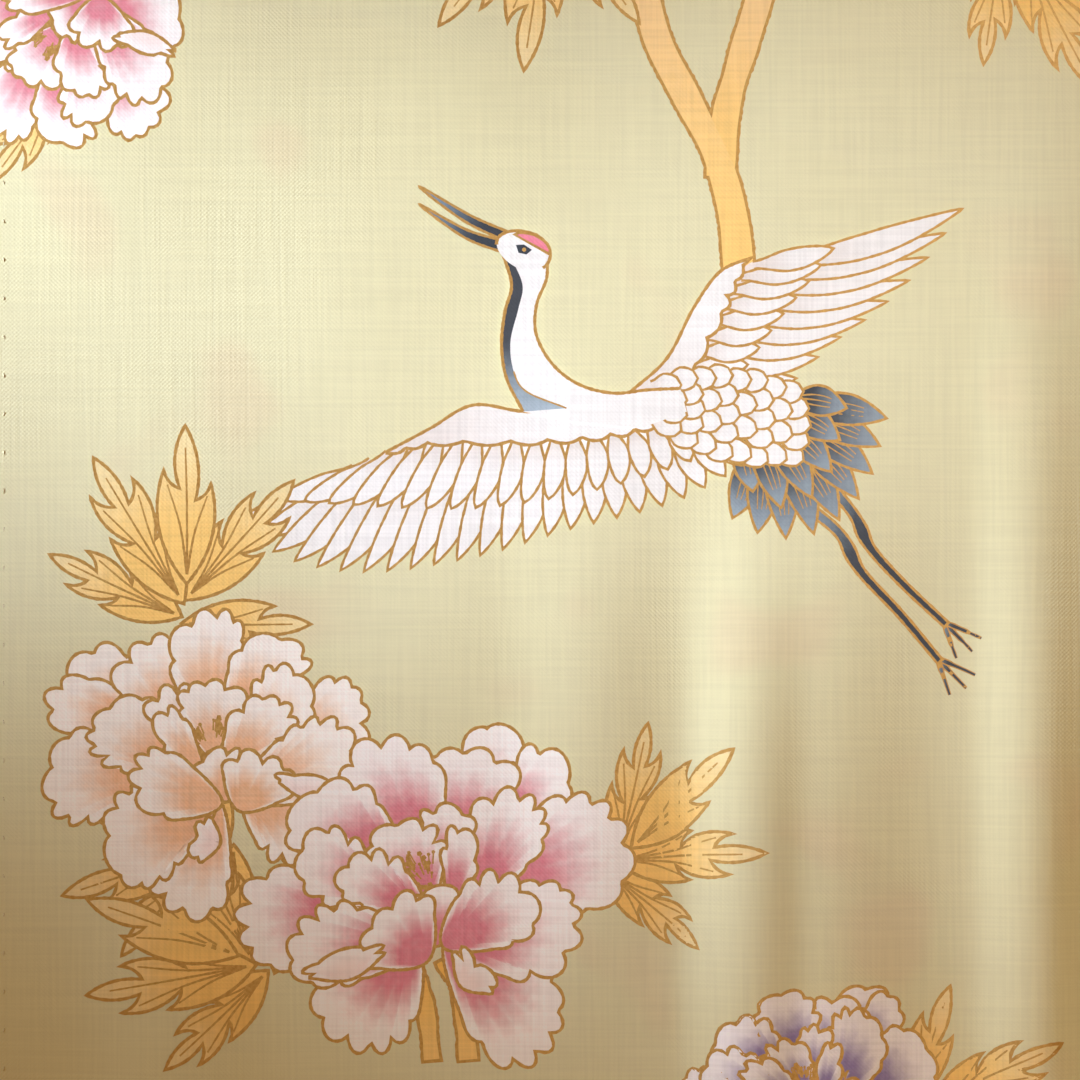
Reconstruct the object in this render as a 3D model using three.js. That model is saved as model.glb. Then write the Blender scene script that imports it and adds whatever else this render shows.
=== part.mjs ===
// A women's cotton yukata laid flat, face up, the left front over the right front.
// Millimetres, +Z up, +Y towards the collar, +X towards the wearer's left sleeve.
// The comments give drops as distances below the shoulder fold, which lies at y = 0
// until the last lines move the origin under the middle of the garment.
import * as THREE from "three";

// Cut of the body
const BODY_LENGTH = 1630;
const SHOULDER_HALF = 330; // centre back seam to armhole seam
const HEM_HALF = 305; // centre back seam to side seam, below the hip
const ARMHOLE_DROP = 230; // the sleeve is sewn to the body down to here
const HIP_DROP = 560; // the side seam is straight below here
const OVERLAP_SEAM_X = 60; // seam between front body and overlap panel
const OVERLAP_EDGE_X = -90; // free front edge of the left overlap panel

// Cut of the sleeves
const SLEEVE_WIDTH = 340;
const SLEEVE_DROP = 490;
const SLEEVE_CORNER = 50; // radius of the bottom outer corner

// Collar band, folded double, and the short cover band sewn over its neck part
const NECK_HALF = 85;
const NECK_DIP = 25; // the back neckline's depth
const COLLAR_DROP = 830; // lower end of the band
const COLLAR_END_X = -15; // where the band's seam ends on the left overlap
const COLLAR_TOP_HALF = 40; // half width of the band's top edge behind the neck
const COLLAR_RISE = 55; // height of that edge above the shoulder fold
const COLLAR_TOP_BOW = 3;
const BAND_STATIONS = 24; // rows along each front band
const COVER_START = 10; // the row of the front band where the cover starts
const CREASE_ROOM = 3; // the bodies' shoulder folds stand this clear of the band's creases

// Cloth and the gaps between pieces
const CLOTH = 1;
const BAND = 1.6;
const GAP = 0.3;
const LAYER = CLOTH + GAP;
const COVER_STACK = CLOTH + GAP + BAND + GAP; // lower cloth, lower band, and their gaps

// Soft rolls and steps where a layer turns or climbs over what lies under it
const SHOULDER_PUFF = 2;
const PUFF_LENGTH = 30;
const COLLAR_PUFF = 1.5;
const STEP_CLEAR = 9;
const STEP_RUN = 36;
const NECK_CLIMB = [-95, -35]; // the front bands climb over the back band between these

// Soft folds of the upper layers: a crest from (x0, y0) to (x1, y1), with its height,
// its half width, and the shares of its length over which it grows and dies away.
// Folds beyond the left front's free edge belong to the right pieces, the rest to the left
// ones, so the right pieces stay flat under the left front.
const FOLDS = [
  { x0: -437, y0: -196, x1: -440, y1: -484, height: 5, half: 20, grow: 0.5, die: 0.2 },
  { x0: -420, y0: -140, x1: -416, y1: -486, height: 6, half: 42, grow: 0.7, die: 0.15 },
  { x0: -353, y0: -60, x1: -351, y1: -484, height: 6, half: 20, grow: 0.8, die: 0.15 },
  { x0: -487, y0: -200, x1: -484, y1: -410, height: 2.5, half: 29, grow: 0.4, die: 0.4 },
  { x0: -612, y0: -330, x1: -604, y1: -476, height: 3, half: 34, grow: 0.5, die: 0.3 },
  { x0: 452, y0: -110, x1: 438, y1: -476, height: 8, half: 46, grow: 0.6, die: 0.2 },
  { x0: 562, y0: -240, x1: 578, y1: -470, height: 6, half: 42, grow: 0.5, die: 0.25 },
  { x0: 376, y0: -190, x1: 382, y1: -476, height: 6, half: 36, grow: 0.5, die: 0.2 },
  { x0: 292, y0: -262, x1: 178, y1: -470, height: 5, half: 38, grow: 0.4, die: 0.5 },
  { x0: -290, y0: -270, x1: -186, y1: -452, height: 5, half: 36, grow: 0.4, die: 0.5 },
  { x0: 168, y0: -430, x1: 186, y1: -1080, height: 7, half: 62, grow: 0.35, die: 0.4 },
  { x0: 238, y0: -760, x1: 226, y1: -1560, height: 8, half: 56, grow: 0.4, die: 0.25 },
  { x0: 152, y0: -1120, x1: 148, y1: -1600, height: 6, half: 48, grow: 0.5, die: 0.15 },
  { x0: -2, y0: -900, x1: -4, y1: -1590, height: 6, half: 54, grow: 0.45, die: 0.2 },
  { x0: -176, y0: -430, x1: -196, y1: -1010, height: 7, half: 60, grow: 0.35, die: 0.4 },
  { x0: -238, y0: -840, x1: -226, y1: -1590, height: 7, half: 56, grow: 0.4, die: 0.2 },
  { x0: -152, y0: -1120, x1: -150, y1: -1600, height: 5, half: 44, grow: 0.5, die: 0.15 },
];

const { lerp, smoothstep, clamp } = THREE.MathUtils;

// Height of one side's folds at a point of the garment's plan.
function foldHeight(side, x, y) {
  let total = 0;
  for (const f of FOLDS) {
    if (f.x0 < OVERLAP_EDGE_X !== side < 0) continue;
    const runX = f.x1 - f.x0;
    const runY = f.y1 - f.y0;
    const length = Math.hypot(runX, runY);
    const along = ((x - f.x0) * runX + (y - f.y0) * runY) / length ** 2;
    const off = Math.abs((x - f.x0) * runY - (y - f.y0) * runX) / length;
    if (along <= 0 || along >= 1 || off >= f.half) continue;
    const swell = smoothstep(along, 0, f.grow) * smoothstep(1 - along, 0, f.die);
    total += f.height * swell * 0.5 * (1 + Math.cos((Math.PI * off) / f.half));
  }
  return total;
}

// A point that lies a given rise above the folded ground, square to it.
function onFolds(side, x, y, rise, target) {
  const height = (dx, dy) => foldHeight(side, x + dx, y + dy);
  const step = 0.5;
  const slopeX = (height(step, 0) - height(-step, 0)) / (2 * step);
  const slopeY = (height(0, step) - height(0, -step)) / (2 * step);
  const normal = new THREE.Vector3(-slopeX, -slopeY, 1).normalize();
  return target.set(x, y, height(0, 0)).addScaledVector(normal, rise);
}

// The left front band's seam edge and free edge, from its lower end to the neck crease.
const seamEdge = new THREE.LineCurve(
  new THREE.Vector2(COLLAR_END_X, -COLLAR_DROP),
  new THREE.Vector2(NECK_HALF, 0),
);
const freeEdge = new THREE.LineCurve(
  new THREE.Vector2(OVERLAP_EDGE_X, -COLLAR_DROP),
  new THREE.Vector2(COLLAR_TOP_HALF, COLLAR_RISE),
);

function xAtHeight(line, y) {
  return lerp(line.v1.x, line.v2.x, (y - line.v1.y) / (line.v2.y - line.v1.y));
}

// How high the left layers ride over the right front and its collar band.
function climbOverRight(x, y) {
  const reach = y > -COLLAR_DROP ? -xAtHeight(freeEdge, y) : -OVERLAP_EDGE_X;
  const overFront = 1 - smoothstep(x, reach + STEP_CLEAR, reach + STEP_CLEAR + STEP_RUN);
  const inner = -xAtHeight(seamEdge, Math.max(y, -COLLAR_DROP));
  const fromBand = Math.max(inner - x, x - reach, -COLLAR_DROP - y, 0);
  const overBand = 1 - smoothstep(fromBand, STEP_CLEAR, STEP_CLEAR + STEP_RUN);
  return LAYER * overFront + (COVER_STACK - LAYER) * overBand;
}

// Height of an upper layer's underside above the folded ground.
function layerRise(side, x, y) {
  return LAYER + (side > 0 ? climbOverRight(x, y) : 0);
}

// Turns the diagonal of each quad of one face of a box, so that it runs as on the face
// opposite. The two faces of a bent wall then stay the same distance apart.
const OUTER_FACE = 5;
function turnDiagonals(index, { start, count }) {
  for (let i = start; i < start + count; i += 6) {
    const [a, b, d, , c] = index.array.slice(i, i + 6);
    index.array.set([a, b, c, a, c, d], i);
  }
}

// A closed wall of cloth: a box of unit size, bent by place(across, station, through).
// through runs from 0 on the outer face of the garment to 1 on its inner face.
function wall(name, material, columns, stations, place) {
  const rows = stations.length - 1;
  const geometry = new THREE.BoxGeometry(1, 1, 1, columns, rows, 1);
  const position = geometry.attributes.position;
  const point = new THREE.Vector3();
  for (let i = 0; i < position.count; i++) {
    const across = position.getX(i) + 0.5;
    const station = stations[Math.round((position.getY(i) + 0.5) * rows)];
    place(across, station, position.getZ(i) + 0.5, point);
    position.setXYZ(i, point.x, point.y, point.z);
  }
  turnDiagonals(geometry.index, geometry.groups[OUTER_FACE]);
  geometry.computeVertexNormals();
  const mesh = new THREE.Mesh(geometry, material);
  mesh.name = name;
  return mesh;
}

const evenly = (from, to, count) =>
  Array.from({ length: count + 1 }, (_, i) => lerp(from, to, i / count));

// Rows of the fronts below the armhole. Body and overlap panels share the lower ones, so that
// layers that lie on each other bend at the same drops.
const BAND_ROWS = evenly(-ARMHOLE_DROP, -COLLAR_DROP, 11);
const SKIRT_ROWS = [-COLLAR_DROP - 15, ...evenly(-COLLAR_DROP - 60, -BODY_LENGTH, 14)];

// Turns round the back neckline, from the wearer's left to their right.
const NECK_TURNS = evenly(0, Math.PI, 8);

// Stations of a strip that runs up the back, over the shoulder and down the front.
const FOLD_TURNS = [-45, 0, 45].map(THREE.MathUtils.degToRad);
function shoulderStrip(backDrops, frontDrops) {
  return [
    ...backDrops.map((y) => ({ part: "back", y })),
    ...FOLD_TURNS.map((turn) => ({ part: "fold", y: 0, turn })),
    ...frontDrops.map((y) => ({ part: "front", y })),
  ];
}

// Places a point of such a strip, x already known. side is 1 for left and -1 for right.
function placeOnStrip(side, x, station, through, target) {
  const puff = SHOULDER_PUFF * smoothstep(station.y, -PUFF_LENGTH, 0);
  const frontMid = LAYER + CLOTH / 2 + SHOULDER_PUFF;
  const radius = (frontMid - CLOTH / 2) / 2;
  if (station.part === "back") return target.set(x, station.y, through * CLOTH);
  if (station.part === "front") {
    const rise = layerRise(side, x, station.y) + puff + (1 - through) * CLOTH;
    return onFolds(side, x, station.y, rise, target);
  }
  const reach = radius + (0.5 - through) * CLOTH;
  const centre = CLOTH / 2 + radius;
  return target.set(x, reach * Math.cos(station.turn), centre + reach * Math.sin(station.turn));
}

// A strip mirrored to the right side keeps its faces pointing out by swapping its edges.
function spanX(side, across, inner, outer) {
  return side > 0 ? lerp(inner, outer, across) : -lerp(outer, inner, across);
}

function body(name, side, material) {
  const neckDrops = NECK_TURNS.slice(0, 4).toReversed().map((turn) => -NECK_DIP * Math.sin(turn));
  const backDrops = [-BODY_LENGTH, -1200, -800, -HIP_DROP, -395, -ARMHOLE_DROP, -90];
  const frontDrops = [0, -15, -PUFF_LENGTH, -90, -160, ...BAND_ROWS, ...SKIRT_ROWS];
  const stations = shoulderStrip([...backDrops, -NECK_DIP, ...neckDrops], frontDrops);
  const outerX = (y) => lerp(SHOULDER_HALF, HEM_HALF, smoothstep(-y, ARMHOLE_DROP, HIP_DROP));
  const innerX = ({ part, y }) => {
    if (part === "fold") return NECK_HALF + CREASE_ROOM + GAP;
    if (part === "front") return Math.max(OVERLAP_SEAM_X, xAtHeight(seamEdge, y)) + GAP;
    const share = clamp(-y / NECK_DIP, 0, 1);
    return Math.max(NECK_HALF * Math.sqrt(1 - share * share), 0) + GAP / 2;
  };
  return wall(name, material, 10, stations, (across, station, through, target) => {
    const x = spanX(side, across, innerX(station), outerX(station.y) - GAP / 2);
    placeOnStrip(side, x, station, through, target);
  });
}

function sleeve(name, side, material, columns, frontRows) {
  const cornerDrops = [90, 60, 30, 0].map((turn) => {
    const angle = THREE.MathUtils.degToRad(turn);
    return -SLEEVE_DROP + SLEEVE_CORNER * (1 - Math.cos(angle));
  });
  const straight = [-ARMHOLE_DROP, 0];
  const frontDrops = [
    0,
    -15,
    -PUFF_LENGTH,
    ...evenly(-PUFF_LENGTH - 30, -SLEEVE_DROP + SLEEVE_CORNER + 18, frontRows),
    ...cornerDrops,
  ];
  const stations = shoulderStrip([...cornerDrops.toReversed(), ...straight], frontDrops);
  const outerX = (y) => {
    const intoCorner = clamp(-y - (SLEEVE_DROP - SLEEVE_CORNER), 0, SLEEVE_CORNER);
    const trimmed = SLEEVE_CORNER - Math.sqrt(SLEEVE_CORNER ** 2 - intoCorner ** 2);
    return SHOULDER_HALF + SLEEVE_WIDTH - trimmed;
  };
  return wall(name, material, columns, stations, (across, station, through, target) => {
    const x = spanX(side, across, SHOULDER_HALF + GAP / 2, outerX(station.y));
    placeOnStrip(side, x, station, through, target);
  });
}

// The front overlap panel: a point at the top where it meets band and body, then widening
// along the band's seam, and full width below the band's end.
function overlap(name, side, material) {
  const seamShare = (OVERLAP_SEAM_X - COLLAR_END_X) / (NECK_HALF - COLLAR_END_X);
  const pointDrop = -COLLAR_DROP * (1 - seamShare);
  const bandRows = evenly(pointDrop - 14, -COLLAR_DROP, 11);
  const rows = [...bandRows, -COLLAR_DROP - GAP, ...SKIRT_ROWS].map((y) => ({ y }));
  const freeX = (y) => (y < -COLLAR_DROP ? OVERLAP_EDGE_X : xAtHeight(seamEdge, y) + GAP);
  return wall(name, material, 5, rows, (across, { y }, through, target) => {
    const x = spanX(side, across, freeX(y), OVERLAP_SEAM_X - GAP / 2);
    onFolds(side, x, y, layerRise(side, x, y) + (1 - through) * CLOTH, target);
  });
}

// Stations of the collar band, from the left front's end round the neck to the right one's.
function bandStations(startRow) {
  const shares = evenly(0, 1, BAND_STATIONS).slice(startRow);
  const turns = [60, 0, -60].map(THREE.MathUtils.degToRad);
  return [
    ...shares.map((share) => ({ part: "front", side: 1, share })),
    ...turns.map((turn) => ({ part: "crease", side: 1, turn })),
    ...NECK_TURNS.map((turn) => ({ part: "back", turn })),
    ...turns.toReversed().map((turn) => ({ part: "crease", side: -1, turn })),
    ...shares.toReversed().map((share) => ({ part: "front", side: -1, share })),
  ];
}

// lift moves a piece out from the band's inner face, so a cover is made from the same points.
const CREASE_START = new THREE.Vector2(NECK_HALF, 0);
const CREASE_END = new THREE.Vector2(COLLAR_TOP_HALF, COLLAR_RISE);
const BACK_BAND_RISE = CLOTH + GAP;
function placeOnBand(across, station, lift, target) {
  const frontRise = COVER_STACK + COLLAR_PUFF;
  const inside = BACK_BAND_RISE + BAND;
  const radius = (frontRise - inside) / 2 + lift;
  const centre = (frontRise + inside) / 2;
  if (station.part === "back") {
    const arch = Math.sin(station.turn);
    const seam = new THREE.Vector2(NECK_HALF * Math.cos(station.turn), GAP - NECK_DIP * arch);
    const top = new THREE.Vector2(
      COLLAR_TOP_HALF * Math.cos(station.turn),
      COLLAR_RISE + COLLAR_TOP_BOW * arch,
    );
    const at = seam.lerp(top, across);
    return target.set(at.x, at.y, inside - lift);
  }
  if (station.part === "crease") {
    const at = CREASE_START.clone().lerp(CREASE_END, across);
    const line = CREASE_END.clone().sub(CREASE_START).normalize();
    const out = radius * Math.cos(station.turn);
    const x = at.x + line.y * out;
    return target.set(station.side * x, at.y - line.x * out, centre + radius * Math.sin(station.turn));
  }
  const seam = seamEdge.getPoint(station.share);
  const at = seam.lerp(freeEdge.getPoint(station.share), across);
  const x = station.side * (at.x - GAP * (1 - across));
  const nearNeck = smoothstep(at.y, ...NECK_CLIMB);
  const puff = COLLAR_PUFF * nearNeck;
  const climb = (COVER_STACK - LAYER) * nearNeck;
  const ride = layerRise(station.side, x, at.y) + climb + puff;
  return onFolds(station.side, x, at.y + GAP * (1 - station.share), ride + lift, target);
}

function collarPiece(name, material, startRow, base, thickness) {
  const stations = bandStations(startRow);
  return wall(name, material, 4, stations, (across, station, through, target) => {
    placeOnBand(across, station, base + (1 - through) * thickness, target);
  });
}

const cloth = new THREE.MeshStandardMaterial({ color: 0xe6deb4, roughness: 0.85, metalness: 0 });
const bandCloth = new THREE.MeshStandardMaterial({ color: 0xe9e2bd, roughness: 0.85, metalness: 0 });

const yukata = new THREE.Group();
yukata.add(
  body("body_left", 1, cloth),
  body("body_right", -1, cloth),
  overlap("overlap_left", 1, cloth),
  overlap("overlap_right", -1, cloth),
  sleeve("sleeve_left", 1, cloth, 13, 12),
  sleeve("sleeve_right", -1, cloth, 22, 18),
  collarPiece("collar_band", bandCloth, 0, 0, BAND),
  collarPiece("collar_cover", bandCloth, COVER_START, BAND + GAP, CLOTH),
);

// The origin goes under the middle of the garment's box.
const box = new THREE.Box3().setFromObject(yukata);
const middle = box.getCenter(new THREE.Vector3());
yukata.position.set(-middle.x, -middle.y, -box.min.z);

const part = new THREE.Group();
part.add(yukata);

export default part;
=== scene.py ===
"""A women's cotton yukata laid flat on a pale floor, with its printed cloth and sewing.

Lengths in the code are millimetres unless a name says otherwise, and drops are measured
below the shoulder fold. A piece's place is worked out on the flat plan of the garment and
then laid over the folds, so cloth, print and stitches share one surface.
"""

import math
import random

import bmesh
import bpy
import numpy as np
from bpy.props import FloatProperty, FloatVectorProperty, IntProperty, PointerProperty
from mathutils import Matrix, Vector


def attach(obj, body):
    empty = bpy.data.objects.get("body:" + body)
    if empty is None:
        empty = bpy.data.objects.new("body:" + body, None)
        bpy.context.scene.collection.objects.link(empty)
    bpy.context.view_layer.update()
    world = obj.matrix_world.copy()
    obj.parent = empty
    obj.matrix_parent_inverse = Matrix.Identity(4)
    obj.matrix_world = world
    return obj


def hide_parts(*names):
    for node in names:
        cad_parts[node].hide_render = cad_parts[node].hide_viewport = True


bl_info = {
    "name": "Yukata laid flat",
    "version": (1, 0, 0),
    "blender": (4, 5, 0),
    "location": "3D View > Sidebar > Yukata",
    "description": "Cloth, print and sewing of a cotton yukata on its packed frame",
    "category": "Object",
}

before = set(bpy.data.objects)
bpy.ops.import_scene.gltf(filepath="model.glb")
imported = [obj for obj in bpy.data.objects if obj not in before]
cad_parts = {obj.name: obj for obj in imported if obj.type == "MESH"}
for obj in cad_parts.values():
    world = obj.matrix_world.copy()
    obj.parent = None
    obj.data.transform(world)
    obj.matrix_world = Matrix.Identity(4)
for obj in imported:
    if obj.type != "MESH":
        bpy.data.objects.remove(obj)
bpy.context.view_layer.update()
MM = 0.001

# The cut, as in the solids
BODY_LENGTH = 1630.0
SHOULDER_HALF = 330.0
HEM_HALF = 305.0
ARMHOLE_DROP = 230.0
HIP_DROP = 560.0
OVERLAP_SEAM_X = 60.0
OVERLAP_EDGE_X = -90.0
SLEEVE_WIDTH = 340.0
SLEEVE_DROP = 490.0
SLEEVE_CORNER = 50.0
NECK_HALF = 85.0
NECK_DIP = 25.0
COLLAR_DROP = 830.0
COLLAR_END_X = -15.0
COLLAR_TOP_HALF = 40.0
COLLAR_RISE = 55.0
COLLAR_TOP_BOW = 3.0
COVER_START = 10 / 24
CREASE_ROOM = 3.0
FRONT_WIDTH = 270.0
OVERLAP_WIDTH = 150.0
COLLAR_MAP_WIDTH = 88.0  # width of the collar on its flat map
HEM_TURN = 14.0  # the hem's stitched line above the hem's edge
HEM_ROWS = (HEM_TURN, 12, 2, 0)
ABOVE_HEM = 16.0

# Layers: room taken by one of cloth and by the doubled band, and the thickness that shows
CLOTH = 1.0
BAND = 1.6
CLOTH_SHELL = 0.7
BAND_SHELL = 1.5
COVER_SHELL = 0.8
SEAM_SINK = 0.45  # how far a panel's face turns down at its seams
COLLAR_SINK = 0.35
SINK_RUN = 2.4
THREAD = 0.62  # from thread to thread
GAP = 0.3
LAYER = CLOTH + GAP
COVER_STACK = CLOTH + GAP + BAND + GAP
SHOULDER_PUFF = 2.0
PUFF_LENGTH = 30.0
COLLAR_PUFF = 1.5
STEP_CLEAR = 9.0
STEP_RUN = 36.0
NECK_CLIMB = (-95.0, -35.0)

# The frame's origin lies under the middle of the garment, this far below the shoulder fold.
ORIGIN_DROP = 786.0

# Crest from (x0, y0) to (x1, y1), height, half width, shares over which it grows and dies
FOLDS = (
    (-437, -196, -440, -484, 5, 20, 0.5, 0.2),
    (-420, -140, -416, -486, 6, 42, 0.7, 0.15),
    (-353, -60, -351, -484, 6, 20, 0.8, 0.15),
    (-487, -200, -484, -410, 2.5, 29, 0.4, 0.4),
    (-612, -330, -604, -476, 3, 34, 0.5, 0.3),
    (452, -110, 438, -476, 8, 46, 0.6, 0.2),
    (562, -240, 578, -470, 6, 42, 0.5, 0.25),
    (376, -190, 382, -476, 6, 36, 0.5, 0.2),
    (292, -262, 178, -470, 5, 38, 0.4, 0.5),
    (-290, -270, -186, -452, 5, 36, 0.4, 0.5),
    (168, -430, 186, -1080, 7, 62, 0.35, 0.4),
    (238, -760, 226, -1560, 8, 56, 0.4, 0.25),
    (152, -1120, 148, -1600, 6, 48, 0.5, 0.15),
    (-2, -900, -4, -1590, 6, 54, 0.45, 0.2),
    (-176, -430, -196, -1010, 7, 60, 0.35, 0.4),
    (-238, -840, -226, -1590, 7, 56, 0.4, 0.2),
    (-152, -1120, -150, -1600, 5, 44, 0.5, 0.15),
)

# Slack ripples that any laid cotton keeps: length of the wave, its lean and its height
RIPPLES = (
    (61.0, 0.35, 0.10),
    (97.0, -0.42, 0.16),
    (38.0, 1.30, 0.05),
    (143.0, 0.12, 0.22),
)


def smoothstep(value, low, high):
    """Smooth rise from 0 at low to 1 at high."""
    t = np.clip((value - low) / (high - low), 0, 1)
    return t * t * (3 - 2 * t)


def ripple_height(x, y):
    """Height of the small ripples, which is never below zero."""
    total = np.zeros_like(x)
    for length, lean, height in RIPPLES:
        phase = (x * math.cos(lean) + y * math.sin(lean)) * 2 * math.pi / length
        total += height * (1 + np.sin(phase + 1.7 * np.sin(y / 83 + lean)))
    return total


def fold_height(side, x, y):
    """Height of one side's folds and ripples at points of the plan."""
    total = ripple_height(x, y) * smoothstep(-y, 8, 60)
    for x0, y0, x1, y1, height, half, grow, die in FOLDS:
        if (x0 < OVERLAP_EDGE_X) != (side < 0):
            continue
        run_x = x1 - x0
        run_y = y1 - y0
        length = math.hypot(run_x, run_y)
        along = ((x - x0) * run_x + (y - y0) * run_y) / length**2
        off = np.abs((x - x0) * run_y - (y - y0) * run_x) / length
        swell = smoothstep(along, 0, grow) * smoothstep(1 - along, 0, die)
        crown = 0.5 * (1 + np.cos(np.pi * np.minimum(off / half, 1)))
        total += height * swell * crown
    return total


def on_folds(side, x, y, rise):
    """Points that lie a given rise above the folded ground, square to it."""
    step = 0.5
    height = fold_height(side, x, y)
    slope_x = (fold_height(side, x + step, y) - fold_height(side, x - step, y)) / (2 * step)
    slope_y = (fold_height(side, x, y + step) - fold_height(side, x, y - step)) / (2 * step)
    size = np.sqrt(slope_x**2 + slope_y**2 + 1)
    return np.stack([x - slope_x * rise / size, y - slope_y * rise / size, height + rise / size], 1)


def x_at(line, y):
    """X of a straight seam or edge at height y."""
    (x0, y0), (x1, y1) = line
    return x0 + (x1 - x0) * (y - y0) / (y1 - y0)


SEAM_LINE = ((COLLAR_END_X, -COLLAR_DROP), (NECK_HALF, 0.0))
FREE_LINE = ((OVERLAP_EDGE_X, -COLLAR_DROP), (COLLAR_TOP_HALF, COLLAR_RISE))


def layer_rise(side, x, y):
    """Height of an upper layer's underside above the folded ground."""
    if side < 0:
        return np.full_like(x, LAYER)
    reach = np.where(y > -COLLAR_DROP, -x_at(FREE_LINE, y), -OVERLAP_EDGE_X)
    over_front = 1 - smoothstep(x, reach + STEP_CLEAR, reach + STEP_CLEAR + STEP_RUN)
    inner = -x_at(SEAM_LINE, np.maximum(y, -COLLAR_DROP))
    from_band = np.maximum.reduce([inner - x, x - reach, -COLLAR_DROP - y, np.zeros_like(x)])
    over_band = 1 - smoothstep(from_band, STEP_CLEAR, STEP_CLEAR + STEP_RUN)
    return LAYER + LAYER * over_front + (COVER_STACK - LAYER) * over_band


def front_surface(side, x, y, lift):
    """Outer face of a front panel or sleeve at points of the plan, raised by lift."""
    puff = SHOULDER_PUFF * smoothstep(y, -PUFF_LENGTH, 0)
    return on_folds(side, x, y, layer_rise(side, x, y) + puff + CLOTH + lift)


def band_surface(side, x, y, lift, under=BAND):
    """Outer face of a front band at points of the plan. under is what lies below it."""
    near_neck = smoothstep(y, *NECK_CLIMB)
    ride = layer_rise(side, x, y) + (COVER_STACK - LAYER + COLLAR_PUFF) * near_neck
    return on_folds(side, x, y, ride + under + lift)


def cover_surface(side, x, y, lift):
    """Outer face of the cover band at points of the plan."""
    return band_surface(side, x, y, lift, BAND + GAP + CLOTH)


# Cloth: each panel is a grid that a function lays over the folds


def evenly(start, end, count):
    """Count + 1 numbers from start to end."""
    return [start + (end - start) * i / count for i in range(count + 1)]


def with_edges(columns, width):
    """Shares across a panel, with close columns along both edges for the turned seams."""
    near = [0.0, 0.7 / width, 1.6 / width, 3.2 / width]
    far = [1 - share for share in reversed(near)]
    return near + evenly(0, 1, columns)[1:-1] + far


def smooth_piece(name, mesh, materials):
    """A smooth-shaded piece in the scene from a finished mesh."""
    for material in materials:
        mesh.materials.append(material)
    mesh.polygons.foreach_set("use_smooth", np.ones(len(mesh.polygons), dtype=bool))
    piece = bpy.data.objects.new(name, mesh)
    bpy.context.collection.objects.link(piece)
    return piece


def sheet(name, across, stations, place, thickness, material):
    """A grid of cloth. place(across, station) gives its points and their flat position."""
    bm = bmesh.new()
    bmesh.ops.create_grid(bm, x_segments=len(across) - 1, y_segments=len(stations) - 1, size=0.5)
    bmesh.ops.reverse_faces(bm, faces=bm.faces)
    mesh = bpy.data.meshes.new(name)
    bm.to_mesh(mesh)
    bm.free()
    grid = read_points(mesh)
    column = np.rint((grid[:, 0] + 0.5) * (len(across) - 1)).astype(int)
    row = np.rint((grid[:, 1] + 0.5) * (len(stations) - 1)).astype(int)
    points, flat = place(np.array(across)[column], np.array(stations)[row])
    write_points(mesh, points)
    write_uv(mesh, "Flat", flat[loop_vertices(mesh)] * MM)
    piece = smooth_piece(name, mesh, [material])
    shell = piece.modifiers.new("Cloth thickness", "SOLIDIFY")
    shell.thickness = thickness * MM
    shell.offset = -1
    return piece


def read_points(mesh):
    """A mesh's points as rows of x, y, z."""
    flat = np.empty(len(mesh.vertices) * 3)
    mesh.vertices.foreach_get("co", flat)
    return flat.reshape(-1, 3)


def write_points(mesh, points):
    """Puts garment points, in millimetres below the shoulder fold, into the frame's metres."""
    moved = points + np.array([0, ORIGIN_DROP, 0])
    mesh.vertices.foreach_set("co", (moved * MM).ravel())
    mesh.update()


def loop_vertices(mesh):
    """The vertex of each face corner."""
    found = np.empty(len(mesh.loops), dtype=np.int64)
    mesh.loops.foreach_get("vertex_index", found)
    return found


def write_uv(mesh, name, values):
    """Writes one UV map, a row for each face corner."""
    layer = mesh.uv_layers.new(name=name)
    layer.data.foreach_set("uv", values.astype(np.float32).ravel())


def seam_drop(across, width):
    """How far a panel's face turns down into the seams at its two edges."""
    edge = np.minimum(across, 1 - across) * width
    return SEAM_SINK * (1 - smoothstep(edge, 0, SINK_RUN))


def strip_stations(back_drops, front_drops):
    """Rows of a strip up the back, over the shoulder and down the front: part, y, turn."""
    back = [(0, y, 0) for y in back_drops]
    turns = [(1, 0, math.radians(turn)) for turn in (-60, -30, 0, 30, 60)]
    front = [(2, y, 0) for y in front_drops]
    return back + turns + front


def lay_strip(side, x, station, sink):
    """Points of a strip from back hem to front hem, x already known."""
    part, y, turn = station.T
    front = front_surface(side, x, y, -sink)
    radius = (LAYER + SHOULDER_PUFF) / 2
    reach = radius + 0.5 * CLOTH
    height = CLOTH / 2 + radius + reach * np.sin(turn)
    fold = np.stack([x, reach * np.cos(turn), height], 1)
    back = np.stack([x, y, 0.02 + 0 * x], 1)
    kind = part[:, None]
    points = np.where(kind == 2, front, np.where(kind == 1, fold, back))
    flat = np.stack([x, np.where(part == 0, 6 - y, np.where(part == 1, 3, y))], 1)
    return points, flat


def body_edges(station):
    """Inner and outer edge of a body panel at each station."""
    part, y, _ = station.T
    outer = SHOULDER_HALF + (HEM_HALF - SHOULDER_HALF) * smoothstep(-y, ARMHOLE_DROP, HIP_DROP)
    front = np.maximum(OVERLAP_SEAM_X, x_at(SEAM_LINE, y)) + GAP
    share = np.clip(-y / NECK_DIP, 0, 1)
    back = NECK_HALF * np.sqrt(1 - share**2) + GAP / 2
    fold = NECK_HALF + CREASE_ROOM + GAP
    inner = np.where(part == 2, front, np.where(part == 1, fold, back))
    return inner, outer - GAP / 2


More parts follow.
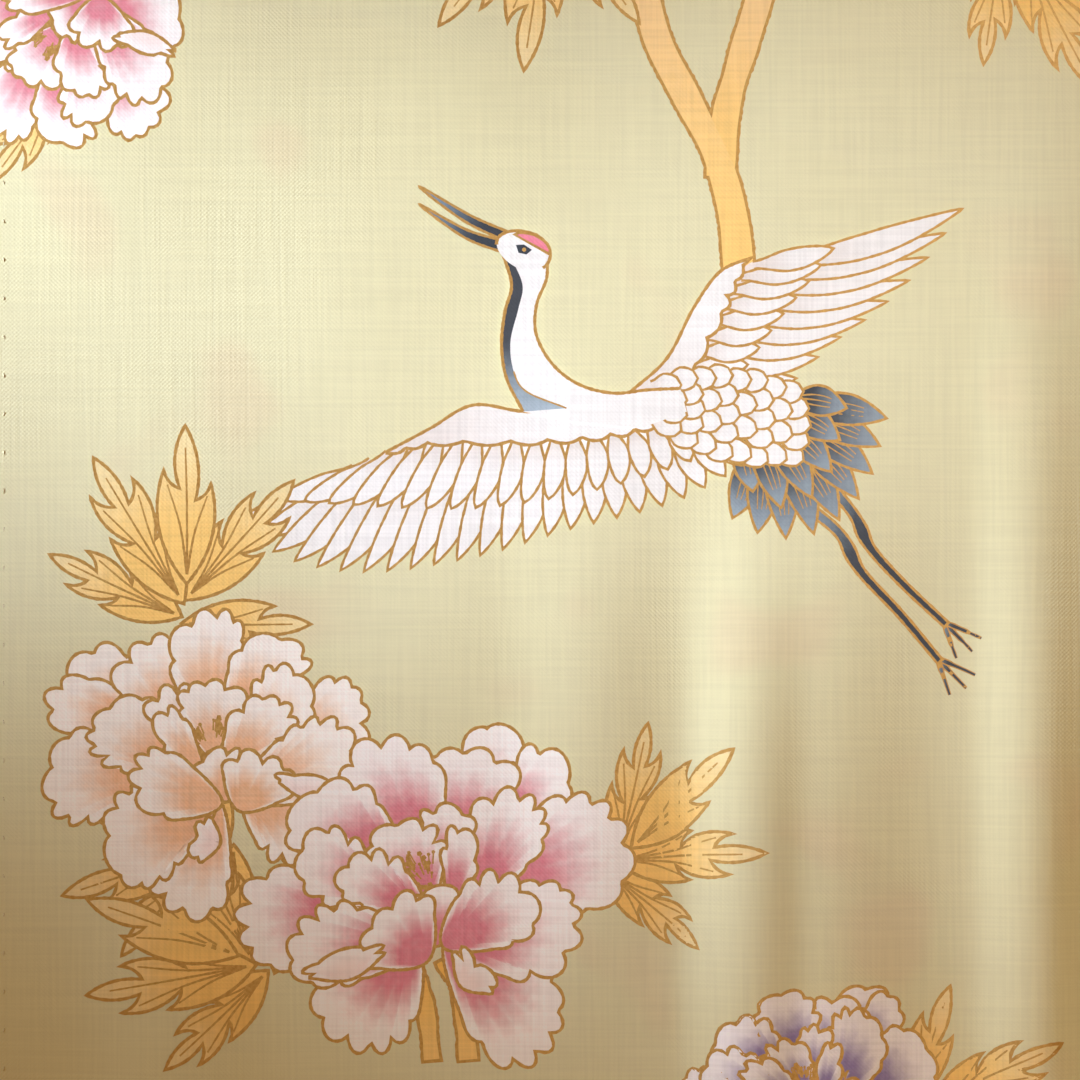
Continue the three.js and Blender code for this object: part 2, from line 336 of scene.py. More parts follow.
def make_body(name, side, material):
    """One body panel, from the back hem over the shoulder to the front hem."""
    neck = [-NECK_DIP * share for share in (1, 0.924, 0.707, 0.383, 0)]
    back = evenly(-BODY_LENGTH, -60, 24) + neck
    front = [0, -6, -12, -20, -30] + evenly(-40, -BODY_LENGTH + ABOVE_HEM, 110)
    hem = [-BODY_LENGTH + drop for drop in HEM_ROWS]
    across = with_edges(34, FRONT_WIDTH)
    if side < 0:
        across = across[::-1]

    def place(share, station):
        inner, outer = body_edges(station)
        x = side * (inner + (outer - inner) * share)
        return lay_strip(side, x, station, seam_drop(share, FRONT_WIDTH))

    return sheet(name, across, strip_stations(back, front + hem), place, CLOTH_SHELL, material)


def make_sleeve(name, side, material, pitch_across, pitch_along):
    """One sleeve, folded at the shoulder line, its bottom outer corner rounded."""
    corner = [
        -SLEEVE_DROP + SLEEVE_CORNER * (1 - math.cos(math.radians(turn)))
        for turn in range(90, -1, -10)
    ]
    rows = int((SLEEVE_DROP - SLEEVE_CORNER - 40) / pitch_along)
    front = [0, -6, -12, -20, -30] + evenly(-40, -SLEEVE_DROP + SLEEVE_CORNER + 4, rows) + corner
    back = corner[::-1] + evenly(-ARMHOLE_DROP, 0, 6)
    across = with_edges(int(SLEEVE_WIDTH / pitch_across), SLEEVE_WIDTH)
    if side < 0:
        across = across[::-1]

    def place(share, station):
        into = np.clip(-station[:, 1] - (SLEEVE_DROP - SLEEVE_CORNER), 0, SLEEVE_CORNER)
        trimmed = SLEEVE_CORNER - np.sqrt(SLEEVE_CORNER**2 - into**2)
        inner = SHOULDER_HALF + GAP / 2
        outer = SHOULDER_HALF + SLEEVE_WIDTH - trimmed
        x = side * (inner + (outer - inner) * share)
        return lay_strip(side, x, station, seam_drop(share, SLEEVE_WIDTH))

    return sheet(name, across, strip_stations(back, front), place, CLOTH_SHELL, material)


def make_overlap(name, side, material):
    """A front overlap panel, pointed at the top and full width below the band's end."""
    seam_share = (OVERLAP_SEAM_X - COLLAR_END_X) / (NECK_HALF - COLLAR_END_X)
    point = -COLLAR_DROP * (1 - seam_share) - 14
    rows = evenly(point, -COLLAR_DROP, 44) + [-COLLAR_DROP - GAP]
    rows += evenly(-COLLAR_DROP - 8, -BODY_LENGTH + ABOVE_HEM, 66)
    rows += [-BODY_LENGTH + drop for drop in HEM_ROWS]
    across = with_edges(20, OVERLAP_WIDTH)
    if side < 0:
        across = across[::-1]

    def place(share, station):
        y = station[:, 1]
        free = np.where(y < -COLLAR_DROP, OVERLAP_EDGE_X, x_at(SEAM_LINE, y) + GAP)
        x = side * (free + (OVERLAP_SEAM_X - GAP / 2 - free) * share)
        return lay_strip(side, x, station, seam_drop(share, OVERLAP_WIDTH))

    return sheet(name, across, [(2, y, 0) for y in rows], place, CLOTH_SHELL, material)


def make_collar(name, material, start, lift, thickness):
    """A collar piece from the left front's end round the neck to the right one's."""
    shares = evenly(start, 1, int(92 * (1 - start)))
    creases = [math.radians(turn) for turn in (75, 50, 25, 0, -25, -50, -75)]
    back = [math.radians(turn) for turn in evenly(0, 180, 32)]
    stations = [(0, 1, share) for share in shares]
    stations += [(1, 1, turn) for turn in creases]
    stations += [(2, 1, turn) for turn in back]
    stations += [(1, -1, turn) for turn in reversed(creases)]
    stations += [(0, -1, share) for share in reversed(shares)]
    start_line = np.array([NECK_HALF, 0.0])
    end_line = np.array([COLLAR_TOP_HALF, COLLAR_RISE])

    def place(across, station):
        part, side, value = station.T
        edge = np.minimum(across, 1 - across) * COLLAR_MAP_WIDTH
        out = lift - COLLAR_SINK * (1 - smoothstep(edge, 0, SINK_RUN))
        seam_x = COLLAR_END_X + (NECK_HALF - COLLAR_END_X) * value - GAP * (1 - across)
        seam_y = -COLLAR_DROP * (1 - value)
        free_x = OVERLAP_EDGE_X + (COLLAR_TOP_HALF - OVERLAP_EDGE_X) * value
        free_y = -COLLAR_DROP + (COLLAR_RISE + COLLAR_DROP) * value
        x = side * (seam_x + (free_x - seam_x) * across)
        y = seam_y + (free_y - seam_y) * across + GAP * (1 - value)
        left = band_surface(1, x, y, out, 0)
        right = band_surface(-1, x, y, out, 0)
        front = np.where(side[:, None] > 0, left, right)
        inside = CLOTH + GAP + BAND
        outside = COVER_STACK + COLLAR_PUFF
        line = (end_line - start_line) / np.linalg.norm(end_line - start_line)
        at = start_line + (end_line - start_line) * across[:, None]
        reach = ((outside - inside) / 2 + out) * np.cos(value)
        rise = ((outside - inside) / 2 + out) * np.sin(value)
        crease = np.stack(
            [
                side * (at[:, 0] + line[1] * reach),
                at[:, 1] - line[0] * reach,
                (outside + inside) / 2 + rise,
            ],
            1,
        )
        arch = np.sin(value)
        low_x = NECK_HALF * np.cos(value)
        low_y = GAP - NECK_DIP * arch
        top_x = COLLAR_TOP_HALF * np.cos(value)
        top_y = COLLAR_RISE + COLLAR_TOP_BOW * arch
        behind = np.stack(
            [low_x + (top_x - low_x) * across, low_y + (top_y - low_y) * across, inside - out], 1
        )
        kind = part[:, None]
        points = np.where(kind == 0, front, np.where(kind == 1, crease, behind))
        run = np.where(part == 0, y, 30.0 * part + 40 * np.cos(value))
        flat = np.stack([across * COLLAR_MAP_WIDTH + 200 * side, run], 1)
        return points, flat

    return sheet(name, with_edges(12, COLLAR_MAP_WIDTH), stations, place, thickness, material)


# Materials


def linear(hex_colour):
    """An sRGB hex colour as linear red, green, blue and alpha."""
    values = [int(hex_colour[i : i + 2], 16) / 255 for i in (1, 3, 5)]
    return [v / 12.92 if v <= 0.04045 else ((v + 0.055) / 1.055) ** 2.4 for v in values] + [1]


def add_node(tree, kind, inputs=None, **settings):
    """Adds a node. inputs maps a socket's name or number to a value or to another socket."""
    node = tree.nodes.new(kind)
    for key, value in settings.items():
        setattr(node, key, value)
    for key, value in (inputs or {}).items():
        if isinstance(value, bpy.types.NodeSocket):
            tree.links.new(value, node.inputs[key])
        else:
            node.inputs[key].default_value = value
    return node


def new_material(name):
    """An empty node material with its output node."""
    material = bpy.data.materials.new(name)
    material.use_nodes = True
    material.node_tree.nodes.clear()
    output = add_node(material.node_tree, "ShaderNodeOutputMaterial")
    return material, material.node_tree, output


def math_of(tree, operation, *values):
    """The result of a math node."""
    node = add_node(tree, "ShaderNodeMath", dict(enumerate(values)), operation=operation)
    return node.outputs[0]


def stretched(tree, at, factors):
    """A position multiplied along each axis."""
    node = add_node(tree, "ShaderNodeVectorMath", {0: at, 1: factors}, operation="MULTIPLY")
    return node.outputs[0]


def flat_noise(tree, at, scale, detail, roughness=0.5):
    """Soft noise on the flat map, from 0 to 1."""
    inputs = {"Vector": at, "Scale": scale, "Detail": detail, "Roughness": roughness}
    return add_node(tree, "ShaderNodeTexNoise", inputs, noise_dimensions="2D").outputs["Fac"]


def blend_of(tree, factor, low, high):
    """One colour that turns to another as the factor goes from 0 to 1."""
    inputs = {"Factor": factor, 6: low, 7: high}
    return add_node(tree, "ShaderNodeMix", inputs, data_type="RGBA").outputs[2]


def eased(tree, value, ends):
    """A value brought smoothly from one range to another."""
    inputs = {"Value": value, **ends}
    node = add_node(tree, "ShaderNodeMapRange", inputs, interpolation_type="SMOOTHSTEP")
    return node.outputs[0]


def relief_of(tree, height, strength, distance):
    """Small relief from a height, its full distance in millimetres."""
    inputs = {"Height": height, "Strength": strength, "Distance": distance * MM}
    return add_node(tree, "ShaderNodeBump", inputs).outputs[0]


def surface_of(tree, output, inputs):
    """Ends a material with its one surface."""
    surface = add_node(tree, "ShaderNodeBsdfPrincipled", inputs)
    tree.links.new(surface.outputs[0], output.inputs["Surface"])


def weave(tree):
    """Slubby plain weave on the flat map: a height, and a slub shade around 0.5."""
    flat = add_node(tree, "ShaderNodeUVMap", uv_map="Flat").outputs["UV"]
    across = 1 / (THREAD * MM)
    turned = stretched(tree, flat, (math.pi * across, math.pi * across, 0))
    split = add_node(tree, "ShaderNodeSeparateXYZ", {0: turned})
    warp = math_of(tree, "SINE", split.outputs["X"])
    weft = math_of(tree, "SINE", split.outputs["Y"])
    crossed = math_of(tree, "MULTIPLY", warp, weft)
    slubs = [
        flat_noise(tree, stretched(tree, flat, stretch), 0.55, 2.0, 0.6)
        for stretch in ((across, 42, 0), (38, across, 0))
    ]
    shade = math_of(tree, "MULTIPLY", math_of(tree, "ADD", *slubs), 0.5)
    return flat, math_of(tree, "MULTIPLY_ADD", crossed, 0.22, shade), shade


def threads_over(tree, colour, shade, depth):
    """Colour made lighter and darker along the slubs of the weave."""
    ends = {"From Min": 0.36, "From Max": 0.64, "To Min": 1 - depth, "To Max": 1 + depth}
    span = add_node(tree, "ShaderNodeMapRange", {"Value": shade, **ends}).outputs[0]
    scaled = add_node(tree, "ShaderNodeVectorMath", {0: colour, "Scale": span}, operation="SCALE")
    return scaled.outputs[0]


def woven_surface(tree, output, colour, height, roughness, bump):
    """Matt cotton with its thread relief and a little fuzz on it."""
    inputs = {
        "Base Color": colour,
        "Roughness": roughness,
        "Specular IOR Level": 0.18,
        "Sheen Weight": 0.12,
        "Sheen Roughness": 0.6,
        "Normal": relief_of(tree, height, bump, 0.25),
    }
    surface_of(tree, output, inputs)


def cotton(name, pale, deep, showing):
    """Plain-weave cotton, dyed pale yellow: matt, with slubs, and the far layer's print faint in it."""
    material, tree, output = new_material(name)
    flat, height, shade = weave(tree)
    ground = blend_of(tree, flat_noise(tree, flat, 5.0, 3.0, 0.45), pale, deep)
    patches = flat_noise(tree, flat, 21.0, 1.5, 0.4)
    faint = eased(tree, patches, {"From Min": 0.6, "From Max": 0.74, "To Max": 0.2})
    colour = threads_over(tree, blend_of(tree, faint, ground, showing), shade, 0.036)
    woven_surface(tree, output, colour, height, 0.86, 0.55)
    return material


# Print: flat shapes of ink, drawn in order, then laid on the cloth

FILM_STEP = 0.014  # each ink lies this much higher than the one that it overprints
LINE_WIDTH = 0.98
FINE_PITCH = 1.1  # from point to point of an outline that the camera sees close up
COARSE_PITCH = 3.1
PETAL_RINGS = (1.0, 0.9, 0.77, 0.62, 0.42)
FINE_LOBES = 1.45  # close up a petal has this many times the lobes of its table
LOBE_DEPTH = (0.075, 0.06)  # share of the peony's radius, away from the camera and close up


def turn_points(points, turn):
    """Points turned about the origin by an angle in radians."""
    c, s = math.cos(turn), math.sin(turn)
    return points @ np.array([[c, s], [-s, c]])


def along_path(path, count):
    """Count points at even steps along a polyline."""
    path = np.asarray(path, dtype=float)
    runs = np.concatenate([[0], np.cumsum(np.hypot(*np.diff(path, axis=0).T))])
    at = np.linspace(0, runs[-1], count)
    return np.stack([np.interp(at, runs, path[:, 0]), np.interp(at, runs, path[:, 1])], 1)


def curve_through(points, count):
    """A smooth curve through a few points."""
    points = np.asarray(points, dtype=float)
    padded = np.vstack([2 * points[0] - points[1], points, 2 * points[-1] - points[-2]])
    spans = len(points) - 1
    at = np.linspace(0, spans - 1e-6, count)
    i = at.astype(int)
    t = (at - i)[:, None]
    a, b, c, d = padded[i], padded[i + 1], padded[i + 2], padded[i + 3]
    return 0.5 * (
        2 * b + (c - a) * t + (2 * a - 5 * b + 4 * c - d) * t**2 + (3 * b - a - 3 * c + d) * t**3
    )


def side_steps(path, closed):
    """Unit steps to the left of a path at each of its points, longer at sharp turns."""
    if closed:
        before, after = path - np.roll(path, 1, 0), np.roll(path, -1, 0) - path
    else:
        runs = np.diff(path, axis=0)
        before = np.vstack([runs[:1], runs])
        after = np.vstack([runs, runs[-1:]])
    before = before / np.maximum(np.hypot(*before.T), 1e-9)[:, None]
    after = after / np.maximum(np.hypot(*after.T), 1e-9)[:, None]
    mean = before + after
    mean = mean / np.maximum(np.hypot(*mean.T), 1e-6)[:, None]
    stretch = 1 / np.clip((mean * before).sum(1), 0.55, 1)
    return np.stack([-mean[:, 1], mean[:, 0]], 1) * stretch[:, None]


def path_length(path):
    """Length of a polyline."""
    return np.hypot(*np.diff(np.asarray(path, dtype=float), axis=0).T).sum()


def uneven(number, seed):
    """A fixed value from -1 to 1 that differs from shape to shape."""
    return math.sin(12.9898 * number + 78.233 * seed + 1.3)


class Motif:
    """One printed motif: filled outlines and drawn lines, in the order they are printed."""

    def __init__(self, fine):
        self.fine = fine
        self.shapes = []

    def count(self, length):
        """How many points a line of this length gets."""
        return max(5, int(length / (FINE_PITCH if self.fine else COARSE_PITCH)))

    def level(self, points):
        """The highest level of the shapes that these points may lie over."""
        low, high = points.min(0), points.max(0)
        under = [
            shape["level"]
            for shape in self.shapes
            if (shape["low"] < high).all() and (shape["high"] > low).all()
        ]
        return max(under, default=0)

    def add(self, points, rise, **shape):
        """Keeps a shape, rise levels above what lies under its points."""
        shape["level"] = self.level(points) + rise
        shape["low"] = points.min(0)
        shape["high"] = points.max(0)
        self.shapes.append(shape)

    def fill(self, outline, ink, root, tip, rise=1.0, ringed=False):
        """A filled outline. Its ink changes from root to tip, or if ringed from root to rim."""
        outline = np.asarray(outline, dtype=float)
        ends = {"root": np.asarray(root, dtype=float), "tip": np.asarray(tip, dtype=float)}
        self.add(outline, rise, outline=outline, ink=ink, ringed=ringed, **ends)

    def line(self, path, width, closed=False, ink="gold", rise=0.5, taper=0.0):
        """A drawn line of ink, a little uneven, thinner towards its end by taper."""
        path = np.asarray(path, dtype=float)
        i = np.arange(len(path))
        wobble = 1 + 0.13 * np.sin(2.9 * i + path[0, 0]) + 0.1 * np.sin(1.3 * i + path[0, 1])
        step = side_steps(path, closed) * (0.5 * width * wobble * (1 - taper * i / len(path)))[:, None]
        ends = {"root": path[0], "tip": path[0] + np.array([10.0, 0.0])}
        self.add(path, rise, left=path + step, right=path - step, closed=closed, ink=ink, **ends)

    def outlined(self, outline, ink, root, tip, width=LINE_WIDTH, ringed=False):
        """A filled outline with its gold line round it."""
        self.fill(outline, ink, root, tip, ringed=ringed)
        self.line(outline, width, closed=True)

    def place(self, other, at, turn=0.0, size=1.0, mirrored=False):
        """Prints another motif's shapes over this one's. turn is in degrees."""
        flip = np.array([-1.0 if mirrored else 1.0, 1.0])
        copies = []
        for shape in other.shapes:
            copy = dict(shape)
            for key in {"outline", "left", "right", "root", "tip"} & set(copy):
                copy[key] = turn_points(copy[key] * flip * size, math.radians(turn)) + np.array(at)
            if mirrored and "outline" in copy:
                copy["outline"] = copy["outline"][::-1]
            if mirrored and "left" in copy:
                copy["left"], copy["right"] = copy["right"], copy["left"]
            points = copy["outline"] if "outline" in copy else copy["left"]
            copy["low"], copy["high"] = points.min(0), points.max(0)
            copies.append(copy)
        low = np.min([copy["low"] for copy in copies], axis=0)
        high = np.max([copy["high"] for copy in copies], axis=0)
        base = self.level(np.array([low, high]))
        for copy in copies:
            copy["level"] += base
        self.shapes += copies


def petal_outline(motif, length, width, lobes, depth, seed):
    """A fan-shaped petal, root at the origin and rim towards +Y, its rim scalloped."""
    theta = np.linspace(0, 2 * math.pi, motif.count(2 * length + 1.6 * width), endpoint=False)
    along = (1 - np.cos(theta)) / 2
    x = width / 2 * np.sin(theta) * (0.5 + 0.66 * along)
    points = np.stack([x, length * along], 1)
    phase = theta - math.pi + 0.16 * np.sin(2.3 * theta + 5 * seed)
    wave = np.abs(np.sin(0.5 * lobes * phase + 0.5 * math.pi * (lobes % 2)))
    size = 1 + 0.4 * np.sin(1.9 * phase + 9 * seed)
    push = depth * smoothstep(along, 0.34, 0.6) * size * (wave**0.7 - 0.6)
    away = points - np.array([0.0, 0.5 * length])
    points = points + away / np.maximum(np.hypot(*away.T), 1e-6)[:, None] * push[:, None]
    points[:, 0] += 0.16 * uneven(1, seed) * length * along**2
    return points


# A peony's petals from back to front, in shares of its radius: root, rim's middle, width, lobes
PEONY_PETALS = (
    ((0.10, 0.22), (0.50, 0.76), 0.42, 5),
    ((0.30, 0.24), (0.74, 0.60), 0.40, 5),
    ((0.16, 0.12), (0.20, 0.66), 0.60, 7),
    ((-0.04, 0.10), (-0.22, 0.72), 0.54, 7),
    ((-0.18, 0.06), (-0.66, 0.42), 0.52, 6),
    ((0.28, -0.08), (1.00, 0.20), 0.70, 9),
    ((-0.36, -0.20), (-1.00, -0.26), 0.62, 8),
    ((0.08, -0.36), (0.66, -0.86), 0.66, 9),
    ((-0.10, -0.36), (-0.46, -0.92), 0.66, 8),
    ((-0.20, -0.14), (-0.74, 0.10), 0.46, 7),
    ((0.22, -0.16), (0.50, 0.44), 0.52, 9),
    ((0.10, -0.38), (0.84, -0.34), 0.62, 9),
    ((0.04, -0.04), (0.10, 0.38), 0.36, 6),
    ((-0.02, -0.16), (-0.18, 0.30), 0.44, 7),
)
PEONY_FRONT = (
    ((0.10, -0.18), (0.24, 0.24), 0.22, 4),
    ((-0.04, -0.22), (-0.46, 0.10), 0.36, 7),
    ((-0.04, -0.40), (-0.80, -0.34), 0.48, 9),
    ((0.02, -0.40), (0.02, -0.08), 0.34, 5),
    ((0.06, -0.40), (0.50, -0.06), 0.44, 7),
    ((-0.02, -0.48), (-0.28, -0.22), 0.50, 6),
)
PEONY_CURLS = (
    ((-0.44, -0.58), (-0.50, -0.44), 0.46, 5),
    ((0.16, -0.62), (0.28, -0.50), 0.30, 4),
)


def print_petals(motif, rows, ink, radius, seed):
    """A table's petals, each over the one before."""
    for number, (root, rim, width, lobes) in enumerate(rows):
        root = np.array(root) * radius
        run = np.array(rim) * radius * (1 + 0.05 * uneven(number, seed)) - root
        length = np.hypot(*run)
        wide = width * radius * (1 + 0.08 * uneven(number + 3, seed))
        if motif.fine:
            lobes = round(FINE_LOBES * lobes)
        depth = LOBE_DEPTH[motif.fine] * radius
        outline = petal_outline(motif, length, wide, lobes, depth, uneven(number, seed + 2))
        outline = turn_points(outline, math.atan2(-run[0], run[1])) + root
        motif.outlined(outline, ink, root, root + run, ringed=True)


def peony(fine, colour, radius, seed):
    """An open peony seen half from the front, with a tuft of gold stamens."""
    motif = Motif(fine)
    print_petals(motif, PEONY_PETALS, "peony_" + colour, radius, seed)
    stamens = 46 if fine else 14
    for i in range(stamens):
        out = np.array([0.13 * uneven(3 * i, seed), 0.02 + 0.1 * uneven(5 * i + 2, seed)]) * radius
        stem = along_path([out * 0.7 - [0, 0.03 * radius], out], 4)
        motif.line(stem, 0.5, rise=0.02)
        angle = np.arange(5) * math.pi / 2.5
        knob = out + (0.7 + 0.25 * uneven(i, seed)) * np.stack([np.cos(angle), np.sin(angle)], 1)
        motif.fill(knob, "gold", knob[0], knob[3], rise=0.02)
    print_petals(motif, PEONY_FRONT, "peony_" + colour, radius, seed + 4)
    print_petals(motif, PEONY_CURLS, "petal_curl", radius, seed)
    return motif


# Corners of two leaves in shares of the length: across, along, bow of the edge that leads there
LEAF_EDGES = (
    (
        (0.0, 0.0, 0.13), (-0.155, 0.55, 0.13), (-0.055, 0.45, -0.14), (-0.12, 0.82, 0.13),
        (-0.035, 0.69, -0.14), (0.02, 1.0, 0.1), (0.045, 0.66, 0.1), (0.145, 0.78, -0.14),
        (0.06, 0.4, 0.13), (0.17, 0.52, -0.14),
    ),
    (
        (0.0, 0.0, 0.14), (-0.14, 0.64, 0.13), (-0.045, 0.53, -0.14), (0.03, 1.0, 0.1),
        (0.055, 0.6, 0.12), (0.16, 0.72, -0.14),
    ),
)
# Leaflets of a fan from the back to the front: foot's distance up the stalk, turn, length, kind
FAN = (
    (2, 80, 37, 1),
    (4, -76, 41, 0),
    (9, 36, 45, 0),
    (8, -38, 48, 0),
    (14, -2, 45, 1),
)


def bowed_outline(motif, corners, length):
    """An outline through sharp corners, each edge bowed out or in."""
    outline = []
    for i, (x1, y1, bow) in enumerate(corners):
        start = length * np.array(corners[i - 1][:2])
        end = length * np.array([x1, y1])
        run = end - start
        bent = 0.5 * (start + end) + 2 * bow * np.array([-run[1], run[0]])
        share = np.linspace(0, 1, motif.count(1.1 * np.hypot(*run)), endpoint=False)[:, None]
        outline.append(start * (1 - share) ** 2 + 2 * bent * share * (1 - share) + end * share**2)
    return np.vstack(outline)


def leaf(fine, length, kind):
    """A cut leaf with pointed lobes, its root at the origin and its tip towards +Y."""
    motif = Motif(fine)
    corners = LEAF_EDGES[kind]
    motif.outlined(bowed_outline(motif, corners, length), "leaf", (0, 0), (0, length))
    for x, y, bow in corners[1:]:
        if x * bow < 0 or y == 1.0:
            tip = length * np.array([0.84 * x, 0.84 * y + 0.02])
            middle = length * np.array([0.3 * x, 0.5 * y])
            vein = curve_through([(0, 0.06 * length), middle, tip], motif.count(0.8 * length))
            motif.line(vein, 0.8, rise=0.25, taper=0.4)
    return motif


def leaf_fan(fine, seed, size=1.0):
    """Five slender cut leaflets that spread from a short stalk."""
    motif = Motif(fine)
    for i, (foot, turn, length, kind) in enumerate(FAN):
        one = leaf(fine, length * size * (1 + 0.08 * uneven(i, seed)), kind)
        motif.place(one, (0, foot * size), turn + 6 * uneven(i + 4, seed), mirrored=(i + seed) % 2 == 1)
    return motif


def stalk_outline(motif, path, width_start, width_end):
    """The outline of a smooth stalk with slightly knotty sides."""
    spine = curve_through(path, motif.count(path_length(path)))
    share = np.linspace(0, 1, len(spine))
    half = 0.5 * (width_start + (width_end - width_start) * share)
    half = half * (1 + 0.07 * np.sin(share * 13) + 0.03 * np.sin(share * 29))
    side = side_steps(spine, False) * half[:, None]
    return np.vstack([spine + side, (spine - side)[::-1]])


def branching(fine, stalks, ink):
    """Stalks that grow into one another: all their lines first, then all their fills."""
    motif = Motif(fine)
    outlines = [stalk_outline(motif, *stalk) for stalk in stalks]
    for outline in outlines:
        motif.line(outline, 2 * LINE_WIDTH, closed=True)
    for outline, stalk in zip(outlines, stalks):
        motif.fill(outline, ink, stalk[0][0], stalk[0][-1], rise=0.5)
    return motif


# Paths with their widths at the foot and at the end
BOUGH = (
    ([(-5, 26), (-3, 46), (2, 64), (8, 84), (12, 104)], 8.0, 7.0),
    ([(1, -6), (-1, 14), (-6, 32), (-15, 50), (-24, 68), (-30, 92), (-42, 118)], 8.4, 7.2),
)
BUD_STALKS = (
    ([(12, 26), (16, 11), (24, -2)], 6.5, 5),
    ([(17, 22), (25, 20), (32, 13)], 4.4, 3),
)
PEONY_STALKS = (
    ([(-6, -27), (-2, -39), (0, -56)], 4.6, 4.6),
    ([(4, -26), (9, -36), (11, -56)], 5.4, 5.4),
)


def feather(motif, root, tip, width, ink, bend=0.0, point=0.0, line=0.8, shoulder=0.8):
    """A feather. point runs from 0, a rounded tip, to 1, a pointed one."""
    root = np.asarray(root, dtype=float)
    run = np.asarray(tip, dtype=float) - root
    length = np.hypot(*run)
    across = np.array([-run[1], run[0]]) / length
    share = np.linspace(0, 1, max(8, motif.count(length)))
    spine = root + run * share[:, None] + across * (bend * length * np.sin(math.pi * share))[:, None]
    body = 0.35 + 0.65 * smoothstep(share, 0.0, 0.45)
    rounded = np.sqrt(1 - np.clip((share - shoulder) / (1 - shoulder), 0, 1) ** 2)
    sharp = 1 - np.clip((share - 0.55) / 0.45, 0, 1) ** 1.6
    half = (0.5 * width * body * (rounded * (1 - point) + sharp * point))[:, None]
    edge = np.vstack([spine + across * half, (spine - across * half)[::-1][1:]])
    motif.fill(edge, ink, root, root + run)
    motif.line(edge, line)
    if ink == "slate_plume":
        for aside in (-0.35, 0.0, 0.35):
            barb = spine[: int(len(spine) * 0.78)] + across * half[: int(len(spine) * 0.78)] * aside
            motif.line(barb, 0.66, rise=0.1, taper=0.6)


def feather_row(motif, row, ink):
    """A row of feathers from one line to another, each lying over the one before."""
    roots, tips, count, width, bend, point = row
    if not motif.fine:
        count, width = int(count * 0.65), width / 0.65
    starts = along_path(curve_through(roots, 60), count)
    ends = along_path(curve_through(tips, 60), count)
    for start, end in zip(starts, ends):
        feather(motif, start, end, width, ink, bend, point)


def scalloped_band(motif, upper, lower, scallops, depth):
    """The plain leading band of a wing, its lower edge in shallow scallops."""
    top = curve_through(upper, motif.count(path_length(upper)))
    base = curve_through(lower, motif.count(1.2 * path_length(lower)))
    share = np.linspace(0, 1, len(base))
    wave = np.abs(np.sin(math.pi * scallops * share)) ** 0.8 * np.sin(math.pi * share) ** 0.3
    steps = side_steps(base, False)
    middle = len(base) // 2
    away = (base[middle] - top[len(top) // 2]) @ steps[middle]
    edge = base + steps * (math.copysign(depth, away) * wave)[:, None]
    motif.outlined(np.vstack([top, edge[::-1]]), "feather", upper[0], lower[-1])


# Rows of the crane's feathers: roots, tips, count, width, bend, point. Shoulder at the origin
LOW_WING = (
    (
        [(-98, -26), (-70, -19), (-36, -16), (-8, -14), (20, -10)],
        [(-121, -35), (-106, -46), (-82, -50), (-52, -46), (-20, -37), (10, -29), (32, -18)],
        24, 7.0, 0.06, 0.9,
    ),
    (
        [(-86, -19), (-62, -10), (-30, -9), (-4, -7), (14, -6)],
        [(-108, -28), (-84, -30), (-52, -31), (-20, -27), (6, -20), (22, -14)],
        19, 6.4, 0.05, 0.7,
    ),
)
HIGH_WING = (
    (
        [(18, 8), (23, 17), (28, 27), (33, 35), (40, 42)],
        [(47, 8), (53, 14), (61, 21), (72, 29), (84, 41), (97, 59)],
        9, 7.2, -0.04, 0.95,
    ),
    (
        [(13, 7), (18, 16), (23, 27), (28, 36), (34, 42)],
        [(29, 7), (35, 16), (42, 26), (49, 35), (58, 47)],
        9, 6.4, -0.03, 0.8,
    ),
)
TAIL = (
    (
        [(34, -12), (40, -10), (45, -6), (47, -1)],
        [(28, -34), (40, -40), (56, -37), (68, -24), (74, -4)],
        9, 9.4, 0.05, 0.95,
    ),
    (
        [(30, -10), (37, -8), (42, -4), (45, 2)],
        [(34, -26), (44, -31), (56, -23), (62, -1)],
        6, 9.0, 0.05, 0.95,
    ),
)
LEGS = (
    [(55, -22), (64, -33), (69, -43), (79, -54), (92, -66)],
    [(51, -31), (60, -39), (66, -50), (78, -63), (90, -77)],
)


def crane_legs(motif):
    """Two slate legs that trail behind, each with its toes."""
    for path in LEGS:
        spine = curve_through(path, motif.count(path_length(path)))
        for toe in ((8, -8), (11, -4), (3, -10)):
            end = spine[-1] + np.array(toe)
            motif.line(along_path([spine[-2], end], 8), 2.0, taper=0.6)
            motif.line(along_path([spine[-2], end], 8), 1.1, ink="slate_leg", rise=0.1, taper=0.6)
        share = np.linspace(0, 1, len(spine))
        half = 1.5 - 0.5 * share + 0.6 * np.exp(-(((share - 0.38) / 0.08) ** 2))
        side = side_steps(spine, False) * half[:, None]
        outline = np.vstack([spine + side, (spine - side)[::-1]])
        motif.outlined(outline, "slate_leg", spine[0], spine[-1], 0.8)


def crane_scales(motif):
    """The short rounded feathers of the back, drawn from the tail to the shoulder."""
    rows = 8 if motif.fine else 5
    for i in range(rows):
        share = i / (rows - 1)
        middle = np.array([46 - 37 * share, -4.5 + 5.5 * share])
        reach = 12.8 * math.sqrt(max(0.25, 1 - (1.5 * share - 0.6) ** 2))
        count = (5 if motif.fine else 3) - i % 2
        for k in range(count):
            across = -1 + 2 * (k + 0.5) / count
            way = np.array([1.0, -0.2 + 0.3 * across])
            start = middle + np.array([-3.5 * across**2 - 4, reach * across])
            size = 6.9 if motif.fine else 10.5
            tip = start + way * size * 1.35
            feather(motif, start, tip, 1.02 * size, "feather", line=0.75, shoulder=0.45)


